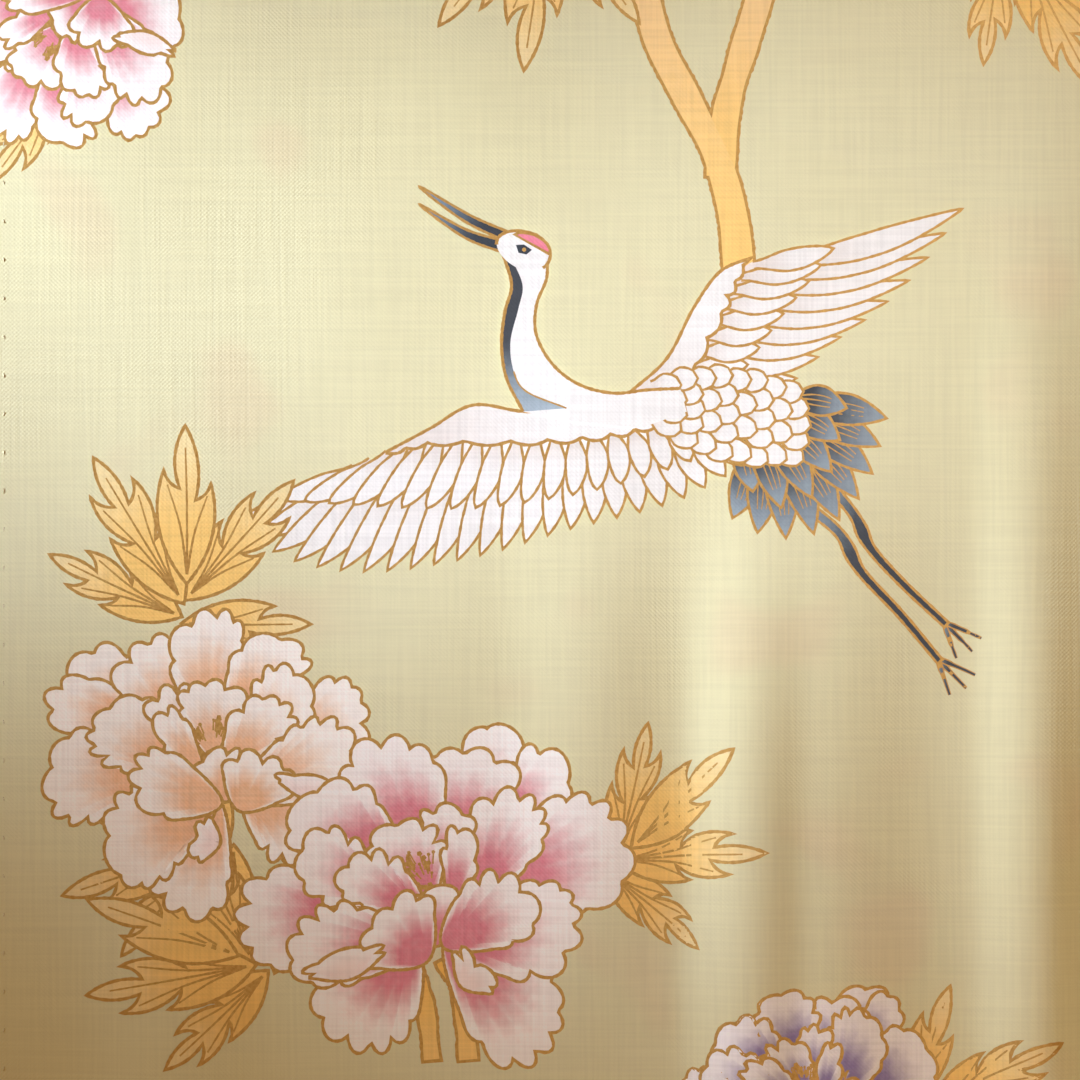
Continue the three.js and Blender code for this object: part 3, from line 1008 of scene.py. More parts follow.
# White ground under the feet of the feathers of each wing
WING_GROUNDS = (
    ((-78, -17), (-60, -9), (-30, -4), (0, -2), (26, -2), (30, -12), (6, -17), (-30, -23), (-64, -23)),
    ((10, 2), (16, 16), (24, 30), (32, 42), (41, 43), (44, 36), (38, 20), (34, 6)),
)
# The leading band of the raised and of the low wing: upper and lower line, scallops, depth
WING_BANDS = (
    (
        ((-4, 3), (8, 14), (16, 29), (24, 40), (34, 44.5)),
        ((12, 4), (18, 16), (24, 28), (27, 35), (31, 42)),
        6, 2.0,
    ),
    (
        ((-76, -14), (-63, -7), (-50, 0), (-34, -2), (-14, -1), (4, 2), (18, 3)),
        ((-76, -14.5), (-62, -11), (-34, -10.5), (-12, -9), (4, -6), (20, -3)),
        11, 1.6,
    ),
)
# The neck's front, rear and throat lines from the breast up, in the crane's own plan
NECK_FRONT = ((-35, -2), (-40, 8), (-41.5, 18), (-40.5, 28), (-38.5, 36), (-41, 45))
NECK_REAR = (
    (12, 5), (2, 4.5), (-8, 3.5), (-18, 6), (-26, 12), (-31, 21), (-31, 30), (-28, 38), (-28, 45),
)
THROAT = ((-22, -1), (-34, 4), (-37.8, 10), (-38.8, 19), (-36.4, 29), (-35.2, 36), (-38.5, 44))


def crane_neck(motif):
    """The raised neck with its dark throat, which spreads to a pale slate bib."""
    front = curve_through(NECK_FRONT, motif.count(1.4 * path_length(NECK_FRONT)))
    rear = curve_through(NECK_REAR, motif.count(1.4 * path_length(NECK_REAR)))
    inner = curve_through(THROAT, motif.count(1.4 * path_length(THROAT)))
    breast = [(-20, -5), (0, -7), (14, -2)]
    motif.fill(np.vstack([front[::-1], breast, rear]), "feather", (-70, 8), (-60, 0))
    motif.fill(np.vstack([front, inner[::-1]]), "slate_throat", (-36, -4), (-40, 24))
    motif.line(front, LINE_WIDTH)
    motif.line(rear, LINE_WIDTH)
    motif.line(inner[: int(len(inner) * 0.35)], 0.5)


def crane_head(fine):
    """The head, facing left, its bill open and its crown rose."""
    head = Motif(fine)
    upper = [(-5, 3.4), (-18, 3.7), (-36, 6.0), (-20, 1.5), (-5, 0.4)]
    lower = [(-5, 0.6), (-18, -0.7), (-34, 1.0), (-18, -3.1), (-5, -3.0)]
    for bill in (lower, upper):
        outline = curve_through(bill, head.count(70))
        head.outlined(outline, "slate_bill", (-5, 0), (-31, 4), 0.8)
    angle = np.linspace(-0.15 * math.pi, 1.85 * math.pi, head.count(50), endpoint=False)
    skull = np.stack([8.4 * np.cos(angle), 5.6 * np.sin(angle) * (1 + 0.12 * np.cos(angle))], 1)
    head.fill(skull, "feather", (20, 0), (14, 0))
    head.line(skull[: int(len(skull) * 0.66)], LINE_WIDTH)
    arc = np.linspace(0.02 * math.pi, 0.84 * math.pi, head.count(24))
    cap = np.stack([6.4 * np.cos(arc) + 1.4, 3.8 * np.sin(arc) + 1.5], 1)
    head.outlined(cap, "crown", (0, 0), (0, 5), 0.7)
    mask = np.array([(-2.6, 0.6), (-0.4, 1.6), (2.4, 1.0), (1.4, -0.9), (-1.0, -1.3)])
    head.fill(mask, "slate_bill", (-3, 0), (40, 0))
    ring = np.arange(8) * math.pi / 4
    eye = 0.5 * np.stack([np.cos(ring), np.sin(ring)], 1) + np.array([0.2, 0.2])
    head.outlined(eye, "eye", (-3, 0), (40, 0), 0.25)
    return head


def crane(fine):
    """A flying crane, head to the left, one wing spread low and one raised."""
    motif = Motif(fine)
    crane_legs(motif)
    for row in TAIL:
        feather_row(motif, row, "slate_plume")
    for under in WING_GROUNDS:
        motif.fill(curve_through(under, motif.count(path_length(under))), "feather", under[0], (0, 0))
    for row in LOW_WING + HIGH_WING:
        feather_row(motif, row, "feather")
    for band in WING_BANDS:
        scalloped_band(motif, *band)
    crane_scales(motif)
    crane_neck(motif)
    motif.place(crane_head(fine), (-35, 46.5), -22)
    return motif


def ribbon_faces(bm, shape, height):
    """The faces of a drawn line."""
    left = [bm.verts.new((x, y, height)) for x, y in shape["left"]]
    right = [bm.verts.new((x, y, height)) for x, y in shape["right"]]
    last = len(left) if shape["closed"] else len(left) - 1
    pairs = [(a, (a + 1) % len(left)) for a in range(last)]
    return [bm.faces.new((right[a], right[b], left[b], left[a])) for a, b in pairs]


def ringed_faces(bm, ink, shape, height, rings):
    """A petal's faces, ring inside ring, so that its ink follows the rim."""
    faces = []
    outer = None
    for share in rings:
        points = shape["root"] + (shape["outline"] - shape["root"]) * share
        inner = [bm.verts.new((x, y, height)) for x, y in points]
        if outer:
            for a in range(len(inner)):
                b = (a + 1) % len(inner)
                face = bm.faces.new((outer[a], outer[b], inner[b], inner[a]))
                for loop, along in zip(face.loops, (before, before, share, share)):
                    loop[ink].uv = (0, along)
                faces.append(face)
        outer, before = inner, share
    face = bm.faces.new(outer)
    for loop in face.loops:
        loop[ink].uv = (0, before)
    return faces + [face]


def ink_shape(bm, ink, shape, height, rings):
    """The faces of one shape, with its ink's position on them."""
    if shape.get("ringed"):
        return ringed_faces(bm, ink, shape, height, rings)
    if "outline" in shape:
        faces = [bm.faces.new([bm.verts.new((x, y, height)) for x, y in shape["outline"]])]
    else:
        faces = ribbon_faces(bm, shape, height)
    root = shape["root"]
    run = shape["tip"] - root
    run = run / max(run @ run, 1e-6)
    for face in faces:
        for loop in face.loops:
            x, y, _ = loop.vert.co
            loop[ink].uv = (0, (x - root[0]) * run[0] + (y - root[1]) * run[1])
    return faces


def cut_along(bm, axis, lines):
    """Cuts every face along straight lines square to an axis."""
    for line in lines:
        at = [0, 0, 0]
        at[axis] = line
        normal = [0, 0, 0]
        normal[axis] = 1
        everything = bm.verts[:] + bm.edges[:] + bm.faces[:]
        bmesh.ops.bisect_plane(bm, geom=everything, plane_co=at, plane_no=normal)


def drape(bm, name, surface, materials):
    """Lays a flat drawing's points on a surface, and keeps its plan as the flat map."""
    mesh = bpy.data.meshes.new(name)
    bm.to_mesh(mesh)
    bm.free()
    plan = read_points(mesh)
    write_points(mesh, surface(*plan.T))
    write_uv(mesh, "Flat", plan[loop_vertices(mesh), :2] * MM)
    return smooth_piece(name, mesh, materials)


def lay_print(name, motif, panel, inks):
    """Lays a motif on a panel: trimmed at its seams and draped over its folds."""
    bm = bmesh.new()
    ink = bm.loops.layers.uv.new("Ink")
    slots = sorted({shape["ink"] for shape in motif.shapes})
    rings = PETAL_RINGS if motif.fine else PETAL_RINGS[::2]
    for shape in motif.shapes:
        for face in ink_shape(bm, ink, shape, panel["film"] + FILM_STEP * shape["level"], rings):
            face.material_index = slots.index(shape["ink"])
    bm.normal_update()
    bmesh.ops.triangulate(bm, faces=bm.faces[:])
    bm.normal_update()
    bmesh.ops.reverse_faces(bm, faces=[face for face in bm.faces if face.normal.z < 0])
    for point, outward in panel["seams"](min(shape["low"][1] for shape in motif.shapes)):
        everything = bm.verts[:] + bm.edges[:] + bm.faces[:]
        bmesh.ops.bisect_plane(
            bm, geom=everything, plane_co=(*point, 0), plane_no=(*outward, 0), clear_outer=True
        )
    if not bm.faces:
        bm.free()
        return None
    reach = np.array([vert.co[:2] for vert in bm.verts])
    low, high = reach.min(0), reach.max(0)
    for axis, lines in enumerate(panel["cuts"]):
        cut_along(bm, axis, [line for line in lines if low[axis] < line < high[axis]])
    if panel.get("under"):
        bmesh.ops.reverse_faces(bm, faces=bm.faces[:])
    piece = drape(bm, name, panel["surface"], [inks[key] for key in slots])
    piece.visible_shadow = False
    return piece


def pigment(name, root, tip, start, end):
    """Pigment print: colour pressed into the cotton, so the weave shows through it."""
    material, tree, output = new_material(name)
    flat, height, shade = weave(tree)
    ink = add_node(tree, "ShaderNodeUVMap", uv_map="Ink").outputs["UV"]
    split = add_node(tree, "ShaderNodeSeparateXYZ", {0: ink})
    brushed = flat_noise(tree, flat, 420.0, 2.0)
    along = math_of(tree, "MULTIPLY_ADD", brushed, 0.12, split.outputs["Y"])
    change = eased(tree, along, {"From Min": start + 0.06, "From Max": end + 0.06})
    colour = threads_over(tree, blend_of(tree, change, root, tip), shade, 0.06)
    woven_surface(tree, output, colour, height, 0.78, 0.45)
    return material


def gold_ink(name, bright, deep):
    """Bronze-powder ink: small flakes that each catch the light at their own angle."""
    material, tree, output = new_material(name)
    flat = add_node(tree, "ShaderNodeUVMap", uv_map="Flat").outputs["UV"]
    grid = {"Vector": flat, "Scale": 2600.0}
    flakes = add_node(tree, "ShaderNodeTexVoronoi", grid, voronoi_dimensions="2D")
    tilt = add_node(tree, "ShaderNodeSeparateColor", {0: flakes.outputs["Color"]})
    inputs = {
        "Base Color": blend_of(tree, flat_noise(tree, flat, 900.0, 3.0), deep, bright),
        "Metallic": 0.55,
        "Roughness": 0.42,
        "Normal": relief_of(tree, tilt.outputs[0], 0.6, 0.1),
    }
    surface_of(tree, output, inputs)
    return material


# Inks with two fixed colours: root, tip, and the shares between which one turns to the other
PLAIN_INKS = (
    ("petal_curl", "White pigment of the curled rims", "#fbe9e4", "#fdf9f6", 0.3, 1.0),
    ("bough", "Amber pigment, peach at the end", "#fbd07c", "#fbd9a2", 0.0, 1.0),
    ("stalk", "Amber pigment, even", "#f8c664", "#fad282", 0.0, 1.0),
    ("feather", "White pigment, warm grey at the root", "#e6ddd6", "#f4f3f0", 0.0, 0.6),
    ("slate_throat", "Slate pigment of the throat", "#a6b6c1", "#44484e", 0.0, 0.9),
    ("slate_leg", "Slate pigment of the legs", "#8797a2", "#4b5058", 0.0, 0.35),
    ("slate_bill", "Slate pigment of the bill", "#3b4149", "#8396a6", 0.3, 1.1),
    ("crown", "Rose-red pigment", "#e8758c", "#ee8ea0", 0.0, 1.0),
    ("eye", "Amber pigment of the eye", "#c9a050", "#d8b468", 0.0, 1.0),
)


def make_inks(colours):
    """Every ink of the print, by the name that the motifs use."""
    inks = {
        key: pigment(name, linear(root), linear(tip), start, end)
        for key, name, root, tip, start, end in PLAIN_INKS
    }
    for key, rim in (("orange", "#fef9f1"), ("rose", "#fefaf7"), ("violet", "#fbf8fc")):
        name = key.capitalize() + " pigment, white at the rim"
        inks["peony_" + key] = pigment(name, shown(getattr(colours, key)), linear(rim), 0.34, 0.88)
    for key, name, root, tip, end in (
        ("leaf", "Amber pigment, pale at the tip", colours.leaf, "#f3e0aa", 1.05),
        ("slate_plume", "Slate pigment, paler at the tip", colours.slate, "#97a6b0", 1.0),
    ):
        inks[key] = pigment(name, shown(root), linear(tip), 0.3, end)
    inks["gold"] = gold_ink("Gold flake ink", shown(colours.gold), linear("#bb8b44"))
    return inks


# Panels that take print: their seams, their surface, and how finely print is cut to lie on them

SEAM_MARGIN = 0.4
UNDER_FRONT_X = 91.5  # the left front lies over the right one up to here
FREE_BELOW = -620.0
UNDER_SHARE = 0.3  # the underside's print is thinner, to stay off the floor


def straight_seam(line, side, outward):
    """A cutting plane along a slanting seam: a point, and the direction out of the panel."""
    (x0, y0), (x1, y1) = line
    length = math.hypot(x1 - x0, y1 - y0)
    normal = (side * outward * (y1 - y0) / length, -outward * (x1 - x0) / length)
    return (side * x0 - SEAM_MARGIN * normal[0], y0 - SEAM_MARGIN * normal[1]), normal


def sleeve_seams(side):
    """Cutting planes of a sleeve, with four across its rounded corner."""
    inner = SHOULDER_HALF + GAP + SEAM_MARGIN
    outer = SHOULDER_HALF + SLEEVE_WIDTH - SEAM_MARGIN
    planes = [
        ((side * inner, 0), (-side, 0)),
        ((side * outer, 0), (side, 0)),
        ((0, -SLEEVE_DROP + SEAM_MARGIN), (0, -1)),
        ((0, -3), (0, 1)),
    ]
    for turn in (18, 36, 54, 72):
        out = (side * math.cos(math.radians(turn)), -math.sin(math.radians(turn)))
        reach = SLEEVE_CORNER - SEAM_MARGIN
        x = side * (SHOULDER_HALF + SLEEVE_WIDTH - SLEEVE_CORNER) + reach * out[0]
        y = -SLEEVE_DROP + SLEEVE_CORNER + reach * out[1]
        planes.append(((x, y), out))
    return planes


def body_seams(side, lowest):
    """Cutting planes of a body front for print that reaches down to lowest."""
    station = np.array([[2.0, max(lowest, -BODY_LENGTH), 0.0]])
    outer = body_edges(station)[1][0]
    covered = side < 0 and lowest < FREE_BELOW
    inner = UNDER_FRONT_X if covered else OVERLAP_SEAM_X + GAP
    return [
        ((side * (inner + SEAM_MARGIN), 0), (-side, 0)),
        ((side * (outer - SEAM_MARGIN), 0), (side, 0)),
        straight_seam(SEAM_LINE, side, -1),
        ((0, -BODY_LENGTH + SEAM_MARGIN), (0, -1)),
        ((0, -3), (0, 1)),
    ]


def back_seams(side, lowest):
    """Cutting planes of a body's back, which lies on the floor."""
    station = np.array([[2.0, max(lowest, -BODY_LENGTH), 0.0]])
    outer = body_edges(station)[1][0]
    return [
        ((side * SEAM_MARGIN, 0), (-side, 0)),
        ((side * (outer - SEAM_MARGIN), 0), (side, 0)),
        ((0, -BODY_LENGTH + SEAM_MARGIN), (0, -1)),
        ((0, -3), (0, 1)),
    ]


def under_surface(x, y, lift):
    """The flat underside, with print that lies thinly below it."""
    return np.stack([x, y, -UNDER_SHARE * lift], 1)


def overlap_seams(high):
    """Cutting planes of the left overlap, of its pointed top or of its full width."""
    outer = ((OVERLAP_SEAM_X - GAP - SEAM_MARGIN, 0), (1, 0))
    if high:
        above = ((0, -COLLAR_DROP + SEAM_MARGIN), (0, -1))
        return [outer, straight_seam(SEAM_LINE, 1, -1), above]
    return [
        outer,
        ((OVERLAP_EDGE_X + SEAM_MARGIN, 0), (-1, 0)),
        ((0, -COLLAR_DROP - GAP - SEAM_MARGIN), (0, 1)),
        ((0, -BODY_LENGTH + SEAM_MARGIN), (0, -1)),
    ]


def collar_seams(top, bottom):
    """Cutting planes of the left collar between two heights."""
    return [
        straight_seam(SEAM_LINE, 1, 1),
        straight_seam(FREE_LINE, 1, -1),
        ((0, top), (0, 1)),
        ((0, bottom), (0, -1)),
    ]


COVER_END = -COLLAR_DROP * (1 - COVER_START)
FINE_CUTS = (
    [-(SHOULDER_HALF + GAP / 2 + (SLEEVE_WIDTH - GAP / 2) * share) for share in evenly(0, 1, 85)],
    evenly(-40, -SLEEVE_DROP + SLEEVE_CORNER + 4, 39),
)
COARSE_CUTS = (evenly(-672, 672, 168), evenly(-BODY_LENGTH, 0, 54))
FLAT_CUTS = ((), ())
FINE_FILM = 0.12


def front_of(side):
    """The outer face of one side's front, for what lies on it."""
    return lambda x, y, lift: front_surface(side, x, y, lift)


def on_front(side, seams, **more):
    """A front panel that takes print."""
    return {"seams": seams, "surface": front_of(side), **more}


def on_underside(seams):
    """A back panel that takes print on its flat face."""
    return {"seams": seams, "surface": under_surface, "cuts": FLAT_CUTS, "under": True}


PANELS = {
    "sleeve_right": on_front(-1, lambda lowest: sleeve_seams(-1), cuts=FINE_CUTS, film=FINE_FILM),
    "sleeve_left": on_front(1, lambda lowest: sleeve_seams(1)),
    "body_right": on_front(-1, lambda lowest: body_seams(-1, lowest)),
    "body_left": on_front(1, lambda lowest: body_seams(1, lowest)),
    "overlap_top": on_front(1, lambda lowest: overlap_seams(True)),
    "overlap_skirt": on_front(1, lambda lowest: overlap_seams(False)),
    "collar_band": {
        "seams": lambda lowest: collar_seams(COVER_END - 2, -COLLAR_DROP + 2),
        "surface": lambda x, y, lift: band_surface(1, x, y, lift),
    },
    "collar_cover": {
        "seams": lambda lowest: collar_seams(NECK_CLIMB[1], COVER_END + 2),
        "surface": lambda x, y, lift: cover_surface(1, x, y, lift),
    },
    "back_right": on_underside(lambda lowest: back_seams(-1, lowest)),
    "back_left": on_underside(lambda lowest: back_seams(1, lowest)),
    "back_sleeve_right": on_underside(lambda lowest: sleeve_seams(-1)),
    "back_sleeve_left": on_underside(lambda lowest: sleeve_seams(1)),
}

# Where each motif lies: kind, seed or size, x, y, turn, mirrored
LAYOUT = {
    "sleeve_right": (
        ("bough", 1, -441, -152, 0, False),
        ("leaves", 4, -498, -32, 178, False),
        ("crane", 1, -470, -194.5, 0, False),
        ("leaves", 1, -484, -336, -52, False),
        ("leaves", 2, -608, -262, -8, True),
        ("leaves", 3, -590, -326, 104, False),
        ("leaves", 4, -578, -366, 64, True),
        ("bud_stalks", 1, -595, -333, 0, False),
        ("orange", 49, -600, -295, 22, True),
        ("peony_stalks", 1, -532.5, -335, 0, False),
        ("rose", 55, -532.5, -335, 0, False),
        ("leaves", 5, -392, -404, -96, False),
        ("violet", 38, -420, -396, 0, False),
        ("leaves", 6, -364, -50, -120, False),
        ("violet", 36, -352, -30, 60, True),
        ("leaves", 7, -636, -96, 60, True),
        ("rose", 42, -648, -84, 130, False),
    ),
    "sleeve_left": (
        ("bough", 1, 452, -116, 12, True),
        ("crane", 1, 500, -176, 0, True),
        ("leaves", 2, 470, -352, 70, False),
        ("leaves", 3, 572, -362, -80, True),
        ("leaves", 1, 528, -312, 6, False),
        ("rose", 55, 520, -352, -14, True),
        ("orange", 44, 424, -410, 20, False),
        ("leaves", 5, 604, -262, 150, False),
        ("violet", 40, 622, -244, 0, False),
        ("leaves", 4, 366, -262, 200, True),
        ("violet", 34, 356, -248, 90, False),
        ("orange", 38, 614, -452, 40, False),
        ("leaves", 6, 372, -62, 30, False),
        ("rose", 36, 364, -44, 180, True),
    ),
    "body_right": (
        ("leaves", 3, -250, -96, 20, False),
        ("violet", 44, -244, -132, 0, False),
        ("bough", 1, -156, -230, -8, True),
        ("crane", 1, -196, -318, 4, True),
        ("leaves", 1, -232, -478, 60, False),
        ("leaves", 4, -130, -500, -70, True),
        ("orange", 46, -246, -520, 18, False),
        ("rose", 56, -164, -506, -6, False),
        ("leaves", 2, -190, -664, 170, False),
        ("violet", 46, -232, -654, 30, True),
        ("bough", 1, -214, -776, 10, False),
        ("crane", 1, -196, -868, 0, False),
        ("leaves", 5, -232, -1004, 62, False),
        ("leaves", 2, -132, -1050, -84, True),
        ("rose", 58, -184, -1040, 10, True),
        ("orange", 44, -262, -1098, -20, False),
        ("leaves", 7, -140, -1192, -40, False),
        ("violet", 48, -186, -1200, 0, False),
        ("crane", 1, -184, -1344, -6, True),
        ("leaves", 6, -222, -1484, 40, True),
        ("leaves", 3, -124, -1500, -60, False),
        ("orange", 58, -180, -1506, 8, False),
        ("rose", 46, -262, -1570, 40, False),
        ("violet", 40, -118, -1592, 0, True),
    ),
    "body_left": (
        ("crane", 1, 226, -120, -4, False),
        ("leaves", 2, 178, -262, 60, False),
        ("leaves", 5, 278, -286, -70, True),
        ("rose", 54, 224, -284, 6, True),
        ("violet", 42, 140, -342, 0, False),
        ("bough", 1, 246, -432, 4, False),
        ("leaves", 4, 262, -500, -30, False),
        ("orange", 50, 232, -520, 12, True),
        ("crane", 1, 196, -650, 0, True),
        ("leaves", 1, 134, -800, 66, False),
        ("leaves", 3, 236, -830, -74, True),
        ("violet", 52, 190, -822, -8, False),
        ("orange", 40, 108, -884, 30, False),
        ("bough", 1, 150, -980, -10, True),
        ("leaves", 6, 254, -1006, 150, False),
        ("rose", 52, 240, -1010, 16, False),
        ("crane", 1, 190, -1150, 6, False),
        ("leaves", 7, 132, -1290, 62, False),
        ("leaves", 2, 238, -1316, -68, True),
        ("orange", 54, 190, -1312, 0, True),
        ("violet", 42, 108, -1380, 20, False),
        ("leaves", 4, 226, -1466, 20, False),
        ("rose", 60, 190, -1510, -10, False),
        ("violet", 38, 270, -1560, 0, True),
    ),
    "overlap_top": (
        ("leaves", 2, 22, -560, 20, False),
        ("violet", 42, 36, -610, 0, False),
        ("leaves", 5, 34, -742, 160, True),
        ("rose", 46, 26, -730, 24, True),
    ),
    "overlap_skirt": (
        ("leaves", 1, 6, -868, 10, False),
        ("orange", 50, -12, -900, 0, False),
        ("crane", 1, 10, -1040, 0, False),
        ("leaves", 4, -28, -1178, 66, False),
        ("rose", 54, -6, -1196, 8, True),
        ("leaves", 3, 26, -1246, -110, True),
        ("bough", 1, -30, -1372, -4, False),
        ("leaves", 6, -18, -1410, 8, False),
        ("violet", 52, -14, -1436, 0, False),
        ("leaves", 7, 12, -1568, -50, False),
        ("orange", 44, -34, -1580, 30, False),
    ),
    "collar_band": (
        ("leaves", 3, -24, -600, 20, False),
        ("rose", 40, -28, -640, 0, False),
        ("leaves", 5, -50, -760, 170, True),
        ("violet", 34, -60, -780, 10, False),
    ),
    "collar_cover": (
        ("violet", 36, -4, -440, 10, True),
        ("leaves", 1, 14, -352, -20, False),
        ("orange", 42, 20, -310, 0, False),
        ("leaves", 6, 34, -196, 30, True),
        ("rose", 38, 42, -164, 14, False),
    ),
    "back_right": (
        ("bough", 1, -170, -150, 0, True),
        ("crane", 1, -180, -250, 0, True),
        ("leaves", 1, -190, -480, 50, False),
        ("rose", 56, -160, -500, 0, False),
        ("leaves", 5, -220, -760, -40, True),
        ("violet", 48, -190, -780, 10, False),
        ("crane", 1, -180, -980, 0, False),
        ("leaves", 3, -150, -1230, 20, False),
        ("orange", 54, -180, -1260, 0, True),
        ("leaves", 6, -200, -1490, -30, False),
        ("rose", 52, -150, -1520, 12, False),
    ),
    "back_left": (
        ("leaves", 2, 150, -170, 10, False),
        ("orange", 52, 170, -200, 0, False),
        ("leaves", 4, 220, -400, -60, True),
        ("violet", 46, 190, -420, 0, True),
        ("crane", 1, 190, -640, 0, False),
        ("leaves", 7, 150, -880, 40, False),
        ("rose", 58, 190, -900, 0, True),
        ("bough", 1, 170, -1090, 0, False),
        ("crane", 1, 180, -1220, 0, True),
        ("leaves", 1, 220, -1470, -50, False),
        ("violet", 52, 170, -1490, 0, False),
    ),
    "back_sleeve_right": (
        ("crane", 1, -500, -150, 0, True),
        ("leaves", 3, -540, -330, 60, False),
        ("rose", 54, -490, -350, 0, False),
    ),
    "back_sleeve_left": (
        ("crane", 1, 500, -150, 0, False),
        ("leaves", 5, 540, -330, -60, True),
        ("orange", 54, 490, -350, 0, False),
    ),
}


def make_motif(kind, number, fine):
    """One motif of the print. number is a peony's radius, or a leaf fan's seed."""
    if kind == "crane":
        return crane(fine)
    if kind == "bough":
        return branching(fine, BOUGH, "bough")
    if kind == "bud_stalks":
        return branching(fine, BUD_STALKS, "stalk")
    if kind == "peony_stalks":
        return branching(fine, PEONY_STALKS, "stalk")
    if kind == "leaves":
        return leaf_fan(fine, number)
    return peony(fine, kind, number, number % 7)


def print_panel(name, panel, fine, inks):
    """Prints a panel's motifs in their order, each over the ones before it."""
    artwork = Motif(fine)
    runs = []
    for kind, number, x, y, turn, mirrored in LAYOUT[name]:
        first = len(artwork.shapes)
        artwork.place(make_motif(kind, number, fine), (x, y), turn, mirrored=mirrored)
        runs.append((kind, first, len(artwork.shapes)))
    for i, (kind, first, last) in enumerate(runs):
        motif = Motif(fine)
        motif.shapes = artwork.shapes[first:last]
        piece = lay_print(f"print_{name}_{i + 1}_{kind}", motif, panel, inks)
        if piece:
            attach(piece, "root")


# Sewing


STITCH_INSET = 9.0
EDGE_CLEAR = 3.0
STITCH_WIDTH = 0.45
STITCH_RISE = 0.12
STITCH_WANDER = 0.25


def stitch_row(points, turn, pitch, rng):
    """Places of hand stitches along a polyline: x, y and turn."""
    count = max(2, int(path_length(points) / pitch))
    places = along_path(points, count)
    return [(x, y, turn + STITCH_WANDER * rng.uniform(-1, 1)) for x, y in places]


def make_stitches(name, surface, places, length, material):
    """Small rounded stitches that lie on the cloth."""
    bm = bmesh.new()
    for x, y, turn in places:
        made = bmesh.ops.create_icosphere(bm, subdivisions=1, radius=0.5)["verts"]
        bmesh.ops.scale(bm, vec=(length, STITCH_WIDTH, 0.5 * STITCH_WIDTH), verts=made)
        bmesh.ops.rotate(bm, cent=(0, 0, 0), matrix=Matrix.Rotation(turn, 3, "Z"), verts=made)
        bmesh.ops.translate(bm, vec=(x, y, STITCH_RISE), verts=made)
    piece = drape(bm, name, surface, [material])
    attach(piece, "root")


def thread(name, colour):
    """Mercerised cotton sewing thread: a little shinier than the cloth, with painted shade in the
    grooves of its twist.
    """
    material, tree, output = new_material(name)
    flat = add_node(tree, "ShaderNodeUVMap", uv_map="Flat").outputs["UV"]
    plies = {"Vector": flat, "Scale": 900.0, "Distortion": 1.0}
    twist = add_node(tree, "ShaderNodeTexWave", plies, bands_direction="DIAGONAL").outputs["Fac"]
    # Painted shade: the twist's bands are darkened to 0.8 of the thread's colour, as shade in the
    # grooves between the plies
    painted_ply_shade = [0.8 * value for value in colour[:3]] + [1]
    inputs = {
        "Base Color": blend_of(tree, twist, painted_ply_shade, colour),
        "Roughness": 0.5,
        "Specular IOR Level": 0.35,
        "Normal": relief_of(tree, twist, 0.15, 0.1),
    }
    surface_of(tree, output, inputs)
    return material


# Stage

FLOOR_HALF = 12.0  # metres
FLOOR_DROP = 0.0006
CAMERA_REACH = 50.0  # metres
CLOTH_TOP = 4.0  # height of the cloth that the camera's distance is measured from

# The photograph looks straight down on part of the right sleeve, 0.30 mm to a pixel.
VIEW_CENTRE = (-500.0, -235.0)
VIEW_WIDTH = 324.0
SENSOR = 36.0


def make_floor(pale, deep):
    """A plain pale floor of matt card."""
    bm = bmesh.new()
    bmesh.ops.create_grid(bm, x_segments=1, y_segments=1, size=FLOOR_HALF)
    bmesh.ops.translate(bm, verts=bm.verts, vec=(0, 0, -FLOOR_DROP))
    mesh = bpy.data.meshes.new("floor")
    bm.to_mesh(mesh)
    bm.free()
    material, tree, output = new_material("Matt white card")
    place = add_node(tree, "ShaderNodeTexCoord")
    grain = add_node(tree, "ShaderNodeTexNoise", {"Vector": place.outputs["Object"], "Scale": 180.0})
    shade = blend_of(tree, grain.outputs["Fac"], deep, pale)
    surface_of(tree, output, {"Base Color": shade, "Roughness": 0.9})
    mesh.materials.append(material)
    floor = bpy.data.objects.new("floor", mesh)
    bpy.context.collection.objects.link(floor)
    return floor


def add_area_light(name, offset, aim, size, spread, power, colour):
    """A soft square light. offset and aim are millimetres from the view's middle, spread degrees."""
    light = bpy.data.lights.new(name, "AREA")
    light.shape = "SQUARE"
    light.size = size * MM
    light.spread = math.radians(spread)
    light.energy = power
    light.color = linear(colour)[:3]
    lamp = bpy.data.objects.new(name, light)
    middle = Vector((VIEW_CENTRE[0], VIEW_CENTRE[1] + ORIGIN_DROP, 0))
    lamp.location = (middle + Vector(offset)) * MM
    run = Vector(aim) - Vector(offset)
    lamp.rotation_euler = run.to_track_quat("-Z", "Y").to_euler()
    bpy.context.collection.objects.link(lamp)


# Lights: place from the view's middle, aim, size, spread, power in watts, colour
LIGHTS = (
    ("window", (-1700, 900, 1000), (0, 0, 0), 900, 180, 7.5, "#dcebff"),
    ("high window", (500, 900, 700), (88, 112, 0), 160, 13, 0.055, "#e6f0ff"),
    ("near window", (-877, 375, 375), (-72, 68, 0), 140, 23, 0.4, "#dcebff"),
    ("sleeve fill", (700, 300, 1800), (990, -160, 0), 600, 62, 2.9, "#fff0dc"),
    ("skirt fill", (350, -750, 1800), (570, -1080, 0), 600, 62, 2.9, "#fff0dc"),
)


# The floor's own light: colour, strength, softness in degrees, lean about x and y in degrees
FLOOR_LIGHT = ("#f1f5ff", 1.8, 24, (24, -42))


